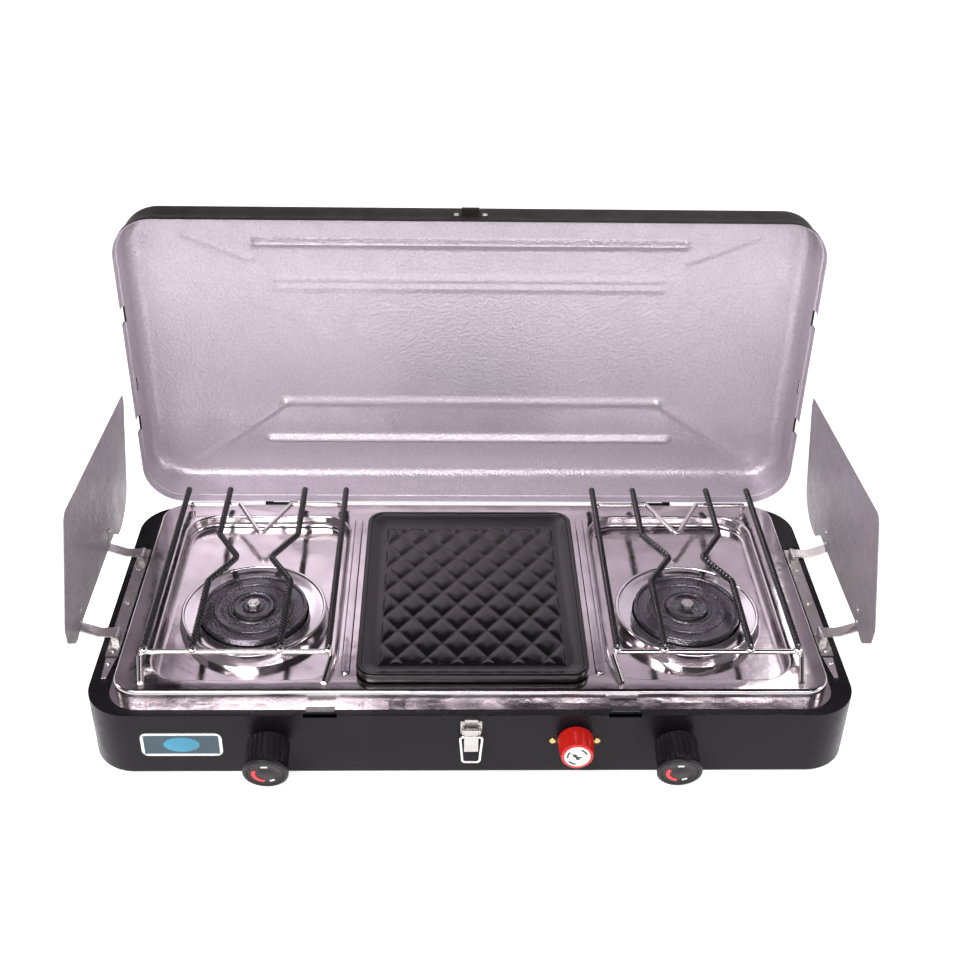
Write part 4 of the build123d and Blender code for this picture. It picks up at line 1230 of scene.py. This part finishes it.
class MakeStage(StovePiece, bpy.types.Operator):
    """The floor, the lights and the camera"""

    bl_idname = "stove.make_stage"
    bl_label = "Stage"

    def execute(self, context):
        self.add_camera()
        self.add_floor()
        self.add_lights()
        return {"FINISHED"}

    def add_camera(self):
        """A camera above and in front, looking down at the cooktop."""
        data = bpy.data.cameras.new("stove_camera")
        data.sensor_width = 36.0
        data.lens = 49.95
        data.clip_end = 50.0
        camera = bpy.data.objects.new("stove_camera", data)
        show(camera)
        pitch, yaw, roll = (math.radians(angle) for angle in (33.36, 1.80, 1.16))
        ahead = Vector(
            (
                math.sin(yaw) * math.cos(pitch),
                math.cos(yaw) * math.cos(pitch),
                -math.sin(pitch),
            )
        )
        level = Vector((math.cos(yaw), -math.sin(yaw), 0.0))
        above = level.cross(ahead)
        right = math.cos(roll) * level + math.sin(roll) * above
        top = -math.sin(roll) * level + math.cos(roll) * above
        pose = Matrix((right, top, -ahead)).transposed().to_4x4()
        pose.translation = Vector((-0.024, -0.967, 0.837))
        camera.matrix_world = pose
        bpy.context.scene.camera = camera

    def add_floor(self):
        """A wide flat sheet just under the feet: z = -0.3 mm for every x and y."""
        span = np.linspace(-6000.0, 6000.0, 13)
        x, y = np.meshgrid(span, span)
        points = np.stack([x, y, np.full_like(x, -0.3)], axis=-1).reshape(-1, 3)
        mesh = bpy.data.meshes.new("studio_floor")
        fill_mesh(mesh, points, [grid_quads(np.arange(x.size).reshape(x.shape))])
        floor = bpy.data.objects.new("studio_floor", mesh)
        show(floor)
        material = bpy.data.materials.new("studio_floor")
        material.use_nodes = True
        surface = material.node_tree.nodes["Principled BSDF"]
        surface.inputs["Base Color"].default_value = (0.97, 0.97, 0.97, 1.0)
        surface.inputs["Roughness"].default_value = 0.7
        surface.inputs["Specular IOR Level"].default_value = 0.1
        surface.inputs["Emission Color"].default_value = (1.0, 1.0, 1.0, 1.0)
        surface.inputs["Emission Strength"].default_value = 0.68
        mesh.materials.append(material)

    def add_lights(self):
        """Soft lights; a sky bright at the horizon, dark overhead, white to the camera."""
        lights = (
            ("key_light", (-0.9, -1.5, 2.3), 1.5, 0.8, 50.0),
            ("strip_light", (0.3, -2.3, 1.5), 2.8, 0.3, 26.0),
            ("rear_light", (0.9, 1.9, 1.9), 2.2, 0.4, 14.0),
            ("side_light", (2.3, -0.5, 1.1), 0.5, 1.1, 12.0),
            ("left_light", (-2.2, 0.2, 1.0), 0.4, 1.0, 9.0),
        )
        for name, spot, wide, tall, power in lights:
            data = bpy.data.lights.new(name, "AREA")
            data.shape = "RECTANGLE"
            data.size = wide
            data.size_y = tall
            data.energy = power
            data.color = (1.0, 0.965, 0.99)
            light = bpy.data.objects.new(name, data)
            show(light)
            light.location = spot
            towards = Vector((0.0, 0.05, 0.1)) - Vector(spot)
            light.rotation_euler = towards.to_track_quat("-Z", "Y").to_euler()
        world = bpy.data.worlds.new("studio_sky")
        world.use_nodes = True
        tree = world.node_tree
        direction = tree.nodes.new("ShaderNodeTexCoord").outputs["Generated"]
        height = tree.nodes.new("ShaderNodeSeparateXYZ")
        ramp = tree.nodes.new("ShaderNodeValToRGB")
        low, high = ramp.color_ramp.elements
        low.position, high.position = 0.05, 0.6
        low.color = (1.0, 0.96, 0.99, 1.0)
        high.color = (0.03, 0.025, 0.028, 1.0)
        tree.links.new(direction, height.inputs["Vector"])
        tree.links.new(height.outputs["Z"], ramp.inputs["Fac"])
        seen = tree.nodes.new("ShaderNodeMix")
        seen.data_type = "RGBA"
        seen.inputs["B"].default_value = (1.15, 1.15, 1.15, 1.0)
        ray = tree.nodes.new("ShaderNodeLightPath").outputs["Is Camera Ray"]
        tree.links.new(ray, seen.inputs["Factor"])
        tree.links.new(ramp.outputs["Color"], seen.inputs["A"])
        tree.links.new(seen.outputs["Result"], tree.nodes["Background"].inputs["Color"])
        tree.nodes["Background"].inputs["Strength"].default_value = 0.9
        bpy.context.scene.world = world
        bpy.context.scene.view_settings.view_transform = "Standard"


class StovePanel(bpy.types.Panel):
    """Lists the stove's sizes, its colours and its operators."""

    bl_idname = "VIEW3D_PT_stove"
    bl_label = "Camping stove"
    bl_space_type = "VIEW_3D"
    bl_region_type = "UI"
    bl_category = "Stove"

    def draw(self, context):
        for settings in (context.scene.stove_sizes, context.scene.stove_colours):
            for label in settings.__annotations__:
                self.layout.prop(settings, label)
        for operator in OPERATORS:
            self.layout.operator(operator.bl_idname)


OPERATORS = (
    MakeStage,
    MakeCase,
    MakeBurners,
    MakeGriddle,
    MakeGrates,
    MakeLid,
    MakeWindscreens,
    MakeKnobs,
    MakeIgniter,
    MakeLatch,
    MakeBadge,
    MakeGasParts,
)
CLASSES = (StoveSizes, StoveColours, *OPERATORS, StovePanel)


def register():
    """Makes Blender know the classes and the settings."""
    for item in CLASSES:
        bpy.utils.register_class(item)
    bpy.types.Scene.stove_sizes = bpy.props.PointerProperty(type=StoveSizes)
    bpy.types.Scene.stove_colours = bpy.props.PointerProperty(type=StoveColours)


def unregister():
    """Takes the settings and the classes away again."""
    del bpy.types.Scene.stove_colours
    del bpy.types.Scene.stove_sizes
    for item in reversed(CLASSES):
        bpy.utils.unregister_class(item)


def main():
    """Registers the add-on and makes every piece."""
    register()
    for operator in OPERATORS:
        group, action = operator.bl_idname.split(".")
        getattr(getattr(bpy.ops, group), action)()


if __name__ == "__main__":
    main()
